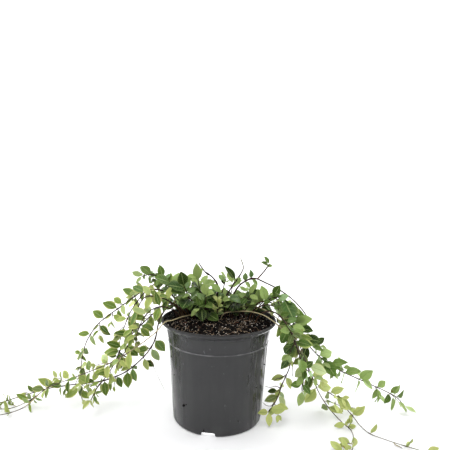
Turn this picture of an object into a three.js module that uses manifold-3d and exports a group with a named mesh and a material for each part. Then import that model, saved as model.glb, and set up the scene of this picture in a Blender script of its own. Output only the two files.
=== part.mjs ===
// Potted dark-leaved lesser periwinkle: a nursery pot full of soil, and the plant's leafy stems.
// Millimetres, +Z up. The origin is on the ground at the pot's axis, +X to the right, +Y to the back.
import * as THREE from 'three';
import { mergeVertices } from 'three/addons/utils/BufferGeometryUtils.js';
import Module from 'manifold-3d';

const wasm = await Module();
wasm.setup();

// Driving dimensions of the pot
const POT_HEIGHT = 148;
const RIM_RADIUS = 85;
const RIDGE_RADIUS = 75;
const RIDGE_HEIGHT = 117;
const BASE_RADIUS = 66;
const WALL = 1.8;
const FLOOR_THICKNESS = 2.2;
const COLLAR_RADIUS = 78.5;
const LIP_DEPTH = 9;
const POT_SIDES = 36;
const DRAIN_RING_RADIUS = 38;
const DRAIN_RADIUS = 4;
const DRAIN_COUNT = 6;
const NOTCH_WIDTH = 24;
const NOTCH_HEIGHT = 5.5;
const NOTCH_COUNT = 4;
const FIRST_NOTCH_ANGLE = -100;

// Smaller dimensions of the pot: the ridge's height and how proud it stands, and the rounded edges
const LIP_FOOT = POT_HEIGHT - LIP_DEPTH;
const RIDGE_HALF_HEIGHT = 1.2;
const RIDGE_PROUD = 0.9;
const FOOT_ROUNDING = 3.5;
const LIP_ROUNDING = 1;
const LIP_BEVEL = 0.4;
const HUB_RADIUS = 44;
const RECESS_HEIGHT = 6;
const RECESS_SLOPE = 2;
const FOOT_RING_WIDTH = 1.2;
const INNER_FOOT_HEIGHT = 11;
const INNER_FOOT_CHAMFER = 3;
const NOTCH_DEPTH = 16;
const DRAIN_SIDES = 8;

// Driving dimensions of the soil
const SOIL_EDGE_HEIGHT = 137;
const SOIL_CROWN = 3.5;
const SOIL_LUMP = 1.1;
const SOIL_RINGS = 4;
const SOIL_SIDES = 20;
const STEM_GAP = 0.35;
const SOIL_WALL_GAP = 0.7;

// Waves that lump the soil: each one's share of a lump, its pitch along X and Y, and its start
const SOIL_WAVES = [
  [0.5, 0.21, 0.17, 0.9],
  [0.5, 0.21, -0.17, 1.7],
  [0.6, 0.37, -0.29, 0],
];

// Driving dimensions of the stems, and the share of a leaf's length or half width where it changes
const STEM_SIDES = 5;
const HOLE_SIDES = 4;
const STEM_STEP = 20;
const ROOT_DEPTH = 14;
const HOLE_DEPTH = 2;
const BURIED_STEPS = 5;
const BLADE_THICKNESS = 0.7;
const BLADE_WIDTH_SHARE = 0.56;
const BLADE_FOLD = 0.2;
const STALK_SHARE = 0.13;
const SHOULDER = 0.27;
const SHOULDER_WIDTH = 0.82;
const WIDEST = 0.58;

// How leaves sit: angles in degrees, lengths as shares of the stem's usual leaf
const TURN_SPREAD = 70;
const QUARTER_TURN = 90;
const LEAN = 24;
const TIP_LEAN = 50;
const LEAN_SPREAD = 20;
const DROOP = 0.28;
const CURL = 0.06;
const CURL_SPREAD = 0.1;
const SHORTEST_LEAF = 0.84;
const LEAF_SPREAD = 0.32;
const TIP_SHRINK = 0.7;
const TRY_SHRINK = 0.05;
const MISSING_SHARE = 0.08;
const SPIN_TRIES = [0, 22, -22, 45, -45, 70, -70, 95, -95];
const LIGHT = [0, -0.8, 0.75];
const LIGHT_SPREAD = 0.003;

// How pairs of leaves follow each other along a stem
const SHORTEST_GAP = 0.85;
const GAP_SPREAD = 0.3;
const LAST_PAIR_REACH = 7;
const LAST_GAP = 6;
const TIP_INSET = 0.5;
const NO_LEAVES = 999;

// Room kept round the leaves. A direction with more of Z in it than STEEP or NODE_STEEP counts as upright.
const LEAF_CLEARANCE = 0.45;
const GROUND_CLEARANCE = 1.2;
const RIM_CLEARANCE = 1.5;
const LIP_CLEARANCE = 3;
const SIDE_CLEARANCE = 1.2;
const WALL_CLEARANCE = 2.2;
const SOIL_CLEARANCE = 2;
const BOX_SPLIT = 0.55;
const TIP_BOX_WIDTH = 0.85;
const STEEP = 0.9;
const NODE_STEEP = 0.94;

// Places on a blade that must be clear: shares of its length and of its half width
const BLADE_TESTS = [
  [0.35, 0], [0.6, 0], [0.8, 0], [1, 0], [0.37, 1], [0.37, -1], [0.68, 0.8], [0.68, -0.8],
];

// Mesh detail: points nearer than WELD are one, faces are merged where they lie within SMOOTHING of flat
const WELD = 1e-4;
const SMOOTHING = 0.04;
const TINY = 1e-8;

// Colours of the pieces
const POT_COLOUR = 0x4b4c50;
const SOIL_COLOUR = 0x2e2620;
const LEAF_COLOUR = 0x4d6b2c;
const STEM_COLOURS = { bare_twig: 0x5a4636, crown_young: 0x8fae48 };

// Small vector and mesh helpers
const degrees = THREE.MathUtils.degToRad;
const vector = (x, y, z) => new THREE.Vector3(x, y, z);

function solidOf(geometry) {
  const bare = geometry.clone();
  bare.deleteAttribute('normal');
  bare.deleteAttribute('uv');
  const welded = mergeVertices(bare, WELD);
  const shape = new wasm.Mesh({
    numProp: 3,
    vertProperties: Float32Array.from(welded.attributes.position.array),
    triVerts: Uint32Array.from(welded.index.array),
  });
  return new wasm.Manifold(shape);
}

function meshOf(name, solid, colour) {
  const shape = solid.asOriginal().simplify(SMOOTHING).getMesh();
  const geometry = new THREE.BufferGeometry();
  geometry.setAttribute('position', new THREE.BufferAttribute(Float32Array.from(shape.vertProperties), 3));
  geometry.setIndex(Array.from(shape.triVerts));
  geometry.computeVertexNormals();
  const mesh = new THREE.Mesh(
    geometry,
    new THREE.MeshStandardMaterial({ color: colour, metalness: 0 }),
  );
  mesh.name = name;
  return mesh;
}

// A seeded generator, so every draw is the same each time
function seededRandom(seed) {
  let state = seed >>> 0;
  return () => {
    state = (state + 0x6d2b79f5) >>> 0;
    let t = state;
    t = Math.imul(t ^ (t >>> 15), t | 1);
    t ^= t + Math.imul(t ^ (t >>> 7), t | 61);
    return ((t ^ (t >>> 14)) >>> 0) / 4294967296;
  };
}

// The wall's outer radius at a height: one taper up to the ridge, a wider one from there to the lip
function wallRadius(z) {
  const low = RIDGE_RADIUS - RIDGE_PROUD;
  if (z < RIDGE_HEIGHT) {
    return BASE_RADIUS + (low - BASE_RADIUS) * (z / RIDGE_HEIGHT);
  }
  return low + (COLLAR_RADIUS - low) * ((z - RIDGE_HEIGHT) / (LIP_FOOT - RIDGE_HEIGHT));
}

// The pot: a turned shell with a flared lip. It stands on a flat hub, which has the drain holes, and on a
// ring, which has the notches. Between them its floor is raised.
function potShell() {
  const inner = (z) => wallRadius(z) - WALL;
  const ringFoot = BASE_RADIUS - FOOT_ROUNDING;
  const lipInside = RIM_RADIUS - LIP_ROUNDING - WALL;
  const profile = [
    [0, 0],
    [HUB_RADIUS, 0],
    [HUB_RADIUS + RECESS_SLOPE, RECESS_HEIGHT],
    [ringFoot - 2 * FOOT_RING_WIDTH, RECESS_HEIGHT],
    [ringFoot - FOOT_RING_WIDTH, 0],
    [ringFoot, 0],
    [BASE_RADIUS - FOOT_ROUNDING / 3, FOOT_ROUNDING / 4],
    [wallRadius(FOOT_ROUNDING), FOOT_ROUNDING],
    [wallRadius(RIDGE_HEIGHT - RIDGE_HALF_HEIGHT), RIDGE_HEIGHT - RIDGE_HALF_HEIGHT],
    [RIDGE_RADIUS, RIDGE_HEIGHT],
    [wallRadius(RIDGE_HEIGHT + RIDGE_HALF_HEIGHT), RIDGE_HEIGHT + RIDGE_HALF_HEIGHT],
    [wallRadius(LIP_FOOT), LIP_FOOT],
    [RIM_RADIUS - LIP_ROUNDING, POT_HEIGHT - 4 * LIP_ROUNDING],
    [RIM_RADIUS, POT_HEIGHT - 2 * LIP_ROUNDING],
    [RIM_RADIUS - LIP_ROUNDING, POT_HEIGHT],
    [lipInside, POT_HEIGHT - LIP_BEVEL],
    [lipInside, POT_HEIGHT - 4 * LIP_ROUNDING],
    [inner(LIP_FOOT), LIP_FOOT - LIP_ROUNDING],
    [inner(RIDGE_HEIGHT), RIDGE_HEIGHT],
    [inner(INNER_FOOT_HEIGHT), INNER_FOOT_HEIGHT],
    [inner(INNER_FOOT_HEIGHT) - INNER_FOOT_CHAMFER, RECESS_HEIGHT + FLOOR_THICKNESS],
    [HUB_RADIUS + RECESS_SLOPE / 2, RECESS_HEIGHT + FLOOR_THICKNESS],
    [HUB_RADIUS - RECESS_SLOPE / 2, FLOOR_THICKNESS],
    [0, FLOOR_THICKNESS],
  ];
  const points = profile.map(([r, z]) => new THREE.Vector2(r, z));
  const geometry = new THREE.LatheGeometry(points, POT_SIDES);
  geometry.rotateX(Math.PI / 2);
  let solid = solidOf(geometry);
  for (let i = 0; i < DRAIN_COUNT; i += 1) {
    const angle = (i / DRAIN_COUNT) * 2 * Math.PI;
    const hole = new THREE.CylinderGeometry(DRAIN_RADIUS, DRAIN_RADIUS, 4 * FLOOR_THICKNESS, DRAIN_SIDES);
    hole.rotateX(Math.PI / 2);
    hole.translate(DRAIN_RING_RADIUS * Math.cos(angle), DRAIN_RING_RADIUS * Math.sin(angle), 0);
    solid = solid.subtract(solidOf(hole));
  }
  for (let i = 0; i < NOTCH_COUNT; i += 1) {
    const notch = new THREE.BoxGeometry(NOTCH_DEPTH, NOTCH_WIDTH, 2 * NOTCH_HEIGHT);
    notch.translate(BASE_RADIUS, 0, 0);
    notch.rotateZ(degrees(FIRST_NOTCH_ANGLE + (i * 360) / NOTCH_COUNT));
    solid = solid.subtract(solidOf(notch));
  }
  return solid;
}

// The soil: fills the pot, with a lumpy crowned top raised by a formula
function soilTop(x, y) {
  const edge = 1 - (x * x + y * y) / (COLLAR_RADIUS * COLLAR_RADIUS);
  const waves = SOIL_WAVES.map(([share, u, v, start]) => share * Math.sin(u * x + v * y + start));
  const lumps = waves.reduce((sum, wave) => sum + wave, 0);
  return SOIL_EDGE_HEIGHT + SOIL_CROWN * edge + SOIL_LUMP * lumps * Math.min(1, 4 * edge);
}

function soilBody() {
  const radiusAt = (z) => wallRadius(z) - WALL - SOIL_WALL_GAP;
  const topRadius = radiusAt(SOIL_EDGE_HEIGHT);
  const raisedFloor = RECESS_HEIGHT + FLOOR_THICKNESS + STEM_GAP;
  const profile = [
    [0, FLOOR_THICKNESS + STEM_GAP],
    [HUB_RADIUS - RECESS_SLOPE / 2 - STEM_GAP, FLOOR_THICKNESS + STEM_GAP],
    [HUB_RADIUS + RECESS_SLOPE / 2 - STEM_GAP, raisedFloor],
    [radiusAt(INNER_FOOT_HEIGHT) - INNER_FOOT_CHAMFER, raisedFloor],
    [radiusAt(INNER_FOOT_HEIGHT), INNER_FOOT_HEIGHT + STEM_GAP],
    [radiusAt(RIDGE_HEIGHT), RIDGE_HEIGHT + STEM_GAP],
    [topRadius, SOIL_EDGE_HEIGHT],
  ];
  for (let ring = SOIL_RINGS - 1; ring > 0; ring -= 1) {
    profile.push([(topRadius * ring) / SOIL_RINGS, SOIL_EDGE_HEIGHT]);
  }
  profile.push([0, SOIL_EDGE_HEIGHT]);
  const points = profile.map(([r, z]) => new THREE.Vector2(r, z));
  const geometry = new THREE.LatheGeometry(points, SOIL_SIDES);
  geometry.rotateX(Math.PI / 2);
  const position = geometry.attributes.position;
  for (let i = 0; i < position.count; i += 1) {
    const x = position.getX(i);
    const y = position.getY(i);
    const isTop = position.getZ(i) > SOIL_EDGE_HEIGHT - WELD;
    if (isTop && Math.hypot(x, y) < topRadius - WELD) {
      position.setZ(i, soilTop(x, y));
    }
  }
  return solidOf(geometry);
}

// A stem's route: a smooth curve through its points, in steps of about STEM_STEP
function curveThrough(a, b, c, d, t) {
  const bend = (2 * a - 5 * b + 4 * c - d) * t * t;
  const twist = (3 * b - a - 3 * c + d) * t * t * t;
  return 0.5 * (2 * b + (c - a) * t + bend + twist);
}

function routeOf(points) {
  const places = points.map((p) => vector(...p));
  const placeAt = (i) => places[Math.min(places.length - 1, Math.max(0, i))];
  const route = [placeAt(0)];
  for (let i = 0; i + 1 < places.length; i += 1) {
    const [a, b, c, d] = [placeAt(i - 1), placeAt(i), placeAt(i + 1), placeAt(i + 2)];
    const steps = Math.max(1, Math.round(b.distanceTo(c) / STEM_STEP));
    for (let k = 1; k <= steps; k += 1) {
      const t = k / steps;
      route.push(vector(
        curveThrough(a.x, b.x, c.x, d.x, t),
        curveThrough(a.y, b.y, c.y, d.y, t),
        curveThrough(a.z, b.z, c.z, d.z, t),
      ));
    }
  }
  return route;
}

function lengthsOf(route) {
  const lengths = [0];
  for (let i = 1; i < route.length; i += 1) {
    lengths.push(lengths[i - 1] + route[i].distanceTo(route[i - 1]));
  }
  return lengths;
}

function pointAlong(route, lengths, distance) {
  let i = 1;
  while (i < route.length - 1 && lengths[i] < distance) {
    i += 1;
  }
  const t = Math.min(1, (distance - lengths[i - 1]) / (lengths[i] - lengths[i - 1]));
  const tangent = route[i].clone().sub(route[i - 1]).normalize();
  return { point: route[i - 1].clone().lerp(route[i], t), tangent };
}

// A round stalk, a cylinder bent along the route, thinner towards its tip
function tubeOf(route, rootRadius, tipRadius, sides) {
  const steps = route.length - 1;
  const geometry = new THREE.CylinderGeometry(tipRadius, rootRadius, steps, sides, steps);
  const frames = [];
  let across = null;
  for (let i = 0; i <= steps; i += 1) {
    const tangent = route[Math.min(steps, i + 1)].clone().sub(route[Math.max(0, i - 1)]).normalize();
    if (across === null) {
      across = Math.abs(tangent.z) < STEEP ? vector(0, 0, 1) : vector(1, 0, 0);
    }
    across = across.clone().addScaledVector(tangent, -across.dot(tangent)).normalize();
    frames.push({ across, second: across.clone().cross(tangent) });
  }
  const position = geometry.attributes.position;
  for (let v = 0; v < position.count; v += 1) {
    const i = Math.round(position.getY(v) + steps / 2);
    const place = route[i].clone()
      .addScaledVector(frames[i].across, position.getX(v))
      .addScaledVector(frames[i].second, position.getZ(v));
    position.setXYZ(v, place.x, place.y, place.z);
  }
  return geometry;
}

// A leaf blade: folded a little along its middle and curling down towards its tip
function bladeHeight(leaf, x, y) {
  const share = x / leaf.length;
  return BLADE_FOLD * Math.abs(y) - leaf.curl * leaf.length * share * share;
}

function bladePoint(leaf, x, y, side) {
  const z = bladeHeight(leaf, x, y) + (side * BLADE_THICKNESS) / 2;
  return leaf.root.clone()
    .addScaledVector(leaf.along, x)
    .addScaledVector(leaf.across, y)
    .addScaledVector(leaf.normal, z);
}

function bladeGeometry(leaf) {
  const half = (leaf.length * BLADE_WIDTH_SHARE) / 2;
  const at = (share, width) => [share * leaf.length, width * half];
  const root = bladePoint(leaf, 0, 0, 0);
  const outline = [at(SHOULDER, -SHOULDER_WIDTH), at(SHOULDER, SHOULDER_WIDTH), at(WIDEST, -1), at(WIDEST, 0),
    at(WIDEST, 1), at(1, 0)];
  const count = outline.length;
  const faces = [[0, 2, 3], [0, 3, 1], [1, 3, 4], [2, 5, 3], [3, 5, 4]];
  const border = [0, 2, 5, 4, 1];
  const points = [root, ...[1, -1].flatMap((side) => outline.map(([x, y]) => bladePoint(leaf, x, y, side)))];
  const top = (i) => i + 1;
  const under = (i) => i + 1 + count;
  const index = [0, top(0), top(1), 0, under(1), under(0), 0, under(0), top(0), 0, top(1), under(1)];
  faces.forEach(([p, q, r]) => index.push(top(p), top(q), top(r), under(p), under(r), under(q)));
  border.slice(1).forEach((q, i) => {
    const p = border[i];
    index.push(top(p), under(p), under(q), top(p), under(q), top(q));
  });
  const geometry = new THREE.BufferGeometry();
  geometry.setAttribute('position', new THREE.Float32BufferAttribute(points.flatMap((p) => p.toArray()), 3));
  geometry.setIndex(index);
  return geometry;
}

// Boxes that hold a leaf or a length of stem, to keep every stem clear of the others
function boxBetween(from, to, across, halfWidth, halfHeight) {
  const along = to.clone().sub(from);
  const half = along.length() / 2;
  along.normalize();
  const side = across.clone().addScaledVector(along, -across.dot(along)).normalize();
  const axes = [along, side, along.clone().cross(side)];
  const halves = [half, halfWidth, halfHeight];
  return { centre: from.clone().add(to).multiplyScalar(0.5), axes, halves, reach: Math.hypot(...halves) };
}

function boxesOfLeaf(leaf) {
  const half = (leaf.length * BLADE_WIDTH_SHARE) / 2;
  const lift = (BLADE_FOLD * half) / 2;
  const height = lift + BLADE_THICKNESS / 2 + LEAF_CLEARANCE;
  const at = (share) => leaf.root.clone()
    .addScaledVector(leaf.along, share * leaf.length)
    .addScaledVector(leaf.normal, lift - leaf.curl * leaf.length * share * share);
  return [
    boxBetween(at(STALK_SHARE), at(BOX_SPLIT), leaf.across, half + LEAF_CLEARANCE, height),
    boxBetween(at(BOX_SPLIT), at(1), leaf.across, half * TIP_BOX_WIDTH + LEAF_CLEARANCE, height),
  ];
}

function boxesOfStem(route, radius) {
  const boxes = [];
  for (let i = 1; i < route.length; i += 1) {
    const along = route[i].clone().sub(route[i - 1]);
    const across = Math.abs(along.z) < STEEP * along.length() ? vector(0, 0, 1) : vector(1, 0, 0);
    boxes.push(boxBetween(route[i - 1], route[i], across, radius + LEAF_CLEARANCE, radius + LEAF_CLEARANCE));
  }
  return boxes;
}

function boxesMeet(a, b) {
  const offset = b.centre.clone().sub(a.centre);
  if (offset.length() > a.reach + b.reach) {
    return false;
  }
  const tests = [...a.axes, ...b.axes];
  a.axes.forEach((u) => b.axes.forEach((v) => tests.push(u.clone().cross(v))));
  return tests.every((axis) => {
    if (axis.lengthSq() < TINY) {
      return true;
    }
    const spread = (box) => box.axes.reduce((sum, u, i) => sum + box.halves[i] * Math.abs(u.dot(axis)), 0);
    return Math.abs(offset.dot(axis)) <= spread(a) + spread(b);
  });
}

// True where a point of a leaf is clear of the pot, the soil and the ground
function isInTheOpen(point) {
  if (point.z < GROUND_CLEARANCE) {
    return false;
  }
  if (point.z > POT_HEIGHT + RIM_CLEARANCE) {
    return true;
  }
  const radius = Math.hypot(point.x, point.y);
  if (point.z > LIP_FOOT - LIP_CLEARANCE && radius > RIM_RADIUS + SIDE_CLEARANCE) {
    return true;
  }
  if (point.z <= LIP_FOOT - LIP_CLEARANCE && radius > wallRadius(point.z) + WALL_CLEARANCE) {
    return true;
  }
  const soilHeight = SOIL_EDGE_HEIGHT + SOIL_CROWN + SOIL_LUMP;
  return radius < COLLAR_RADIUS - WALL - LIP_CLEARANCE && point.z > soilHeight + SOIL_CLEARANCE;
}

// Tried along the middle of the blade and at both its edges
function leafIsInTheOpen(leaf) {
  const half = (leaf.length * BLADE_WIDTH_SHARE) / 2;
  return BLADE_TESTS.every(([share, width]) => {
    const place = bladePoint(leaf, share * leaf.length, width * half, 0);
    return isInTheOpen(place);
  });
}

// The plant's stems, each through points chosen by hand, with what differs from the usual stem.
// bare is the length without leaves, gap the space between leaf pairs, which grows or shrinks by spread.
// leaf is the usual leaf's length and spin the angle of the first pair; where turns is set, each next
// pair is a quarter turn on. twigOf names the stem that carries a twig.
const USUAL_STEM = { root: 1.1, tip: 0.7, spread: 0, turns: false, pairs: Infinity };
const STEMS = [
  {
    name: 'left_long', seed: 11, root: 1.25, bare: 112, gap: 36, spread: 0.3, leaf: 24, spin: 90,
    points: [
      [-48, 28, 138], [-60, 20, 157], [-76, 11, 161], [-89, 4, 143], [-95, 2, 114], [-104, 2, 96],
      [-118, 4, 79], [-139, 8, 60], [-176, 16, 41], [-218, 22, 32], [-266, 26, 22], [-306, 22, 11],
      [-336, 13, 4], [-350, 9, 3],
    ],
  },
  {
    name: 'left_runner', seed: 12, root: 1.25, bare: 172, gap: 34, spread: 0.2, leaf: 23, spin: 75,
    points: [
      [-14, 33, 138], [-20, 32, 146], [-36, 20, 147], [-56, -4, 149], [-66, -32, 152], [-75, -41, 152],
      [-86, -46, 140], [-109, -42, 120], [-147, -32, 92], [-195, -14, 65], [-237, -4, 45], [-256, 0, 36],
      [-286, 0, 14], [-312, -2, 3], [-340, -6, 3],
    ],
  },
  {
    name: 'left_runner_twig', twigOf: 'left_runner', seed: 13, root: 0.8, tip: 0.6, bare: 18, gap: 26,
    leaf: 16, spin: 60,
    points: [
      [-270, 0, 25], [-288, -8, 9], [-306, -18, 4], [-322, -24, 3],
    ],
  },
  {
    name: 'left_arch', seed: 14, root: 1.15, bare: 66, gap: 31, leaf: 25, spin: 90,
    points: [
      [-38, 30, 138], [-44, 31, 156], [-74, 32, 184], [-94, 35, 192], [-118, 38, 180], [-158, 42, 150],
      [-195, 46, 120], [-215, 46, 86], [-221, 45, 57], [-222, 42, 28], [-218, 34, 10], [-213, 25, 4],
    ],
  },
  {
    name: 'left_upper', seed: 15, bare: 46, gap: 26, leaf: 26, spin: 70,
    points: [
      [-46, 36, 138], [-55, 30, 158], [-84, 18, 183], [-108, 12, 185], [-124, 12, 168], [-136, 14, 149],
      [-146, 16, 124], [-152, 16, 104],
    ],
  },
  {
    name: 'left_mid', seed: 16, root: 1.15, bare: 50, gap: 30, leaf: 25, spin: 100,
    points: [
      [-56, 28, 138], [-66, 25, 156], [-80, 21, 164], [-92, 17, 156], [-110, 10, 140], [-132, 3, 118],
      [-144, -5, 102], [-155, -15, 76], [-167, -21, 58], [-176, -25, 46], [-183, -28, 31],
    ],
  },
  {
    name: 'left_thin', seed: 17, root: 0.95, tip: 0.65, bare: 48, gap: 28, leaf: 22, spin: 60,
    points: [
      [-52, 20, 138], [-60, 14, 158], [-86, -2, 177], [-106, -10, 181], [-116, -14, 170],
      [-122, -16, 150], [-129, -18, 118], [-136, -18, 100], [-145, -20, 88],
    ],
  },
  {
    name: 'left_top', seed: 18, bare: 34, gap: 17, leaf: 26, spin: 80,
    points: [
      [-30, 32, 138], [-38, 31, 160], [-64, 29, 184], [-85, 28, 200], [-105, 28, 206], [-121, 28, 203],
    ],
  },
  {
    name: 'right_long', seed: 21, root: 1.25, bare: 112, gap: 32, spread: 0.7, leaf: 29, spin: 80,
    points: [
      [3, 24, 138], [8, 24, 148], [26, 21, 152], [46, 8, 156], [64, -12, 157], [77, -27, 153],
      [89, -32, 144], [102, -33, 130], [113, -33, 117], [126, -28, 96], [137, -20, 72], [153, -8, 37],
      [171, -6, 11], [183, -28, 4], [190, -44, 3], [189, -62, 3], [178, -94, 3], [170, -108, 3],
    ],
  },
  {
    name: 'right_runner', seed: 22, root: 1.2, bare: 104, gap: 30, spread: 0.7, leaf: 28, spin: 100,
    points: [
      [16, 40, 138], [22, 38, 150], [45, 30, 159], [66, 14, 159], [85, -8, 152], [99, -15, 140],
      [110, -17, 130], [119, -16, 114], [131, -8, 86], [141, 0, 60], [156, 4, 43], [180, 4, 27],
      [197, 0, 10], [205, -12, 3], [207, -32, 3], [214, -54, 3], [230, -68, 3], [247, -80, 3],
      [262, -89, 3], [274, -97, 3],
    ],
  },
  {
    name: 'right_side', seed: 23, root: 1.15, bare: 56, gap: 29, leaf: 29, spin: 90,
    points: [
      [42, 34, 138], [51, 31, 156], [70, 26, 168], [89, 22, 162], [107, 18, 147], [126, 18, 120],
      [146, 22, 94], [168, 27, 74], [198, 32, 55], [222, 34, 44], [245, 34, 34], [266, 30, 26],
      [282, 24, 19], [291, 16, 9],
    ],
  },
  {
    name: 'right_inner', seed: 24, bare: 54, gap: 29, leaf: 27, spin: 70,
    points: [
      [46, 22, 138], [54, 17, 157], [74, 4, 168], [90, -4, 162], [101, -6, 145], [107, -4, 111],
      [107, -6, 76], [96, -14, 54], [87, -22, 34], [74, -36, 22],
    ],
  },
  {
    name: 'right_front', seed: 27, bare: 60, gap: 22, leaf: 29, spin: 60,
    points: [
      [56, 12, 138], [64, 4, 154], [79, -16, 163], [93, -34, 155], [104, -48, 136], [113, -54, 112],
      [118, -57, 88], [118, -58, 64],
    ],
  },
  {
    name: 'right_arch', seed: 25, bare: 70, gap: 13, leaf: 14, spin: 70, pairs: 2,
    points: [
      [11, 44, 138], [17, 38, 160], [26, 32, 184], [37, 27, 197], [53, 24, 204], [71, 26, 197],
      [93, 28, 186], [113, 28, 172], [129, 26, 156], [140, 22, 140],
    ],
  },
  {
    name: 'right_arch_twig', twigOf: 'right_arch', seed: 26, root: 0.75, tip: 0.6, bare: 24, gap: 14,
    leaf: 12, spin: 40,
    points: [
      [58, 24, 203], [68, 23, 215], [76, 23, 227],
    ],
  },
  {
    name: 'crown_left', seed: 31, bare: 14, gap: 16, spread: -0.3, leaf: 30, spin: 0, turns: true,
    points: [
      [-40, 24, 138], [-43, 22, 156], [-49, 19, 178], [-55, 16, 194],
    ],
  },
  {
    name: 'crown_tall', seed: 32, bare: 14, gap: 22, spread: -0.3, leaf: 29, spin: 35, turns: true,
    points: [
      [-21, 42, 138], [-25, 38, 160], [-31, 32, 184], [-35, 28, 204],
    ],
  },
  {
    name: 'crown_centre', seed: 33, bare: 11, gap: 17, spread: -0.3, leaf: 30, spin: 80, turns: true,
    points: [
      [-18, 22, 138], [-20, 17, 154], [-21, 12, 168], [-19, 8, 179],
    ],
  },
  {
    name: 'crown_right', seed: 34, bare: 11, gap: 17, spread: -0.3, leaf: 30, spin: 20, turns: true,
    points: [
      [20, 36, 138], [25, 31, 156], [34, 25, 171], [46, 18, 180],
    ],
  },
  {
    name: 'crown_low_left', seed: 50, root: 1, tip: 0.65, bare: 10, gap: 15, leaf: 28, spin: 30,
    turns: true,
    points: [
      [-62, 12, 138], [-67, 8, 153], [-72, 4, 165],
    ],
  },
  {
    name: 'crown_low_middle', seed: 51, root: 1, tip: 0.65, bare: 10, gap: 14, leaf: 27, spin: 0,
    turns: true,
    points: [
      [8, 32, 138], [13, 27, 153], [20, 21, 165],
    ],
  },
  {
    name: 'crown_low_right', seed: 52, root: 1, tip: 0.65, bare: 10, gap: 15, leaf: 28, spin: 60,
    turns: true,
    points: [
      [33, 26, 138], [39, 23, 152], [48, 18, 165],
    ],
  },
  {
    name: 'crown_fill_right', seed: 53, bare: 12, gap: 15, spread: -0.2, leaf: 30, spin: 10, turns: true,
    points: [
      [36, 43, 138], [42, 41, 158], [50, 37, 180],
    ],
  },
  {
    name: 'crown_fill_left', seed: 54, bare: 12, gap: 15, spread: -0.2, leaf: 30, spin: 75, turns: true,
    points: [
      [-26, 52, 138], [-28, 51, 158], [-32, 46, 180],
    ],
  },
  {
    name: 'crown_far_left', seed: 55, bare: 12, gap: 17, leaf: 28, spin: 20, turns: true,
    points: [
      [-60, 34, 138], [-66, 35, 156], [-76, 36, 176],
    ],
  },
  {
    name: 'crown_far_right', seed: 56, bare: 12, gap: 17, leaf: 28, spin: 50, turns: true,
    points: [
      [54, 36, 138], [62, 36, 156], [76, 34, 172],
    ],
  },
  {
    name: 'crown_spike', seed: 35, root: 1, tip: 0.5, bare: 66, gap: 8, leaf: 13, spin: 60, turns: true,
    pairs: 2,
    points: [
      [1, 40, 138], [5, 38, 160], [21, 29, 192], [32, 24, 210], [36, 21, 222], [31, 20, 236],
    ],
  },
  {
    name: 'crown_narrow', seed: 36, root: 1, tip: 0.6, bare: 40, gap: 22, leaf: 25, spin: 10,
    turns: true,
    points: [
      [-2, 44, 138], [0, 42, 160], [6, 36, 186], [10, 30, 204],
    ],
  },
  {
    name: 'crown_young', seed: 37, root: 0.9, tip: 0.6, bare: 10, gap: 10, leaf: 15, spin: 45,
    turns: true,
    points: [
      [-3, 20, 138], [-3, 19, 150], [-2, 18, 162], [-3, 17, 171],
    ],
  },
  {
    name: 'crown_edge', seed: 38, root: 1, tip: 0.65, bare: 22, gap: 18, leaf: 28, spin: 50,
    points: [
      [52, 26, 138], [60, 22, 156], [79, 12, 176], [96, 3, 178], [104, -3, 168],
    ],
  },
  {
    name: 'left_front', seed: 39, root: 1, tip: 0.65, bare: 30, gap: 22, leaf: 25, spin: 60,
    points: [
      [-56, 8, 138], [-62, 2, 153], [-77, -14, 166], [-92, -27, 168], [-106, -34, 156],
      [-114, -36, 136], [-117, -37, 118],
    ],
  },
  {
    name: 'bare_twig', seed: 40, root: 1, tip: 0.55, bare: NO_LEAVES, gap: 20, leaf: 10, spin: 0,
    points: [
      [-10, 46, 138], [-6, 46, 162], [-2, 46, 184], [-12, 48, 200], [-24, 50, 208], [-34, 51, 222],
    ],
  },
  {
    name: 'back_left', seed: 41, bare: 48, gap: 34, leaf: 27, spin: 0,
    points: [
      [-34, 50, 138], [-40, 58, 156], [-50, 74, 168], [-60, 90, 160], [-68, 108, 132], [-72, 118, 98],
      [-76, 124, 66],
    ],
  },
  {
    name: 'back_middle', seed: 42, bare: 48, gap: 36, leaf: 27, spin: 15,
    points: [
      [-8, 60, 138], [-8, 68, 156], [-6, 86, 166], [-2, 106, 152], [2, 120, 118], [6, 126, 80],
      [8, 128, 44],
    ],
  },
  {
    name: 'back_right', seed: 43, bare: 48, gap: 34, leaf: 27, spin: -15,
    points: [
      [30, 48, 138], [36, 56, 156], [48, 74, 168], [58, 92, 156], [66, 106, 124], [72, 114, 92],
    ],
  },
  {
    name: 'back_crown', seed: 44, bare: 14, gap: 19, spread: -0.2, leaf: 29, spin: 50, turns: true,
    points: [
      [14, 58, 138], [16, 60, 158], [20, 66, 176], [22, 72, 186],
    ],
  },
  {
    name: 'back_shoot', seed: 45, bare: 14, gap: 19, spread: -0.2, leaf: 29, spin: 5, turns: true,
    points: [
      [-26, 60, 138], [-28, 64, 156], [-30, 70, 174], [-32, 76, 184],
    ],
  },
].map((stem) => ({ ...USUAL_STEM, ...stem }));

// The directions of a stem at one of its nodes: along it, to its side and across both
function nodeAt(route, lengths, distance) {
  const { point, tangent } = pointAlong(route, lengths, distance);
  const level = Math.abs(tangent.z) < NODE_STEEP ? vector(0, 0, 1) : vector(0.2, -1, 0);
  const first = tangent.clone().cross(level).normalize();
  return { point, tangent, first, second: first.clone().cross(tangent) };
}

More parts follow.
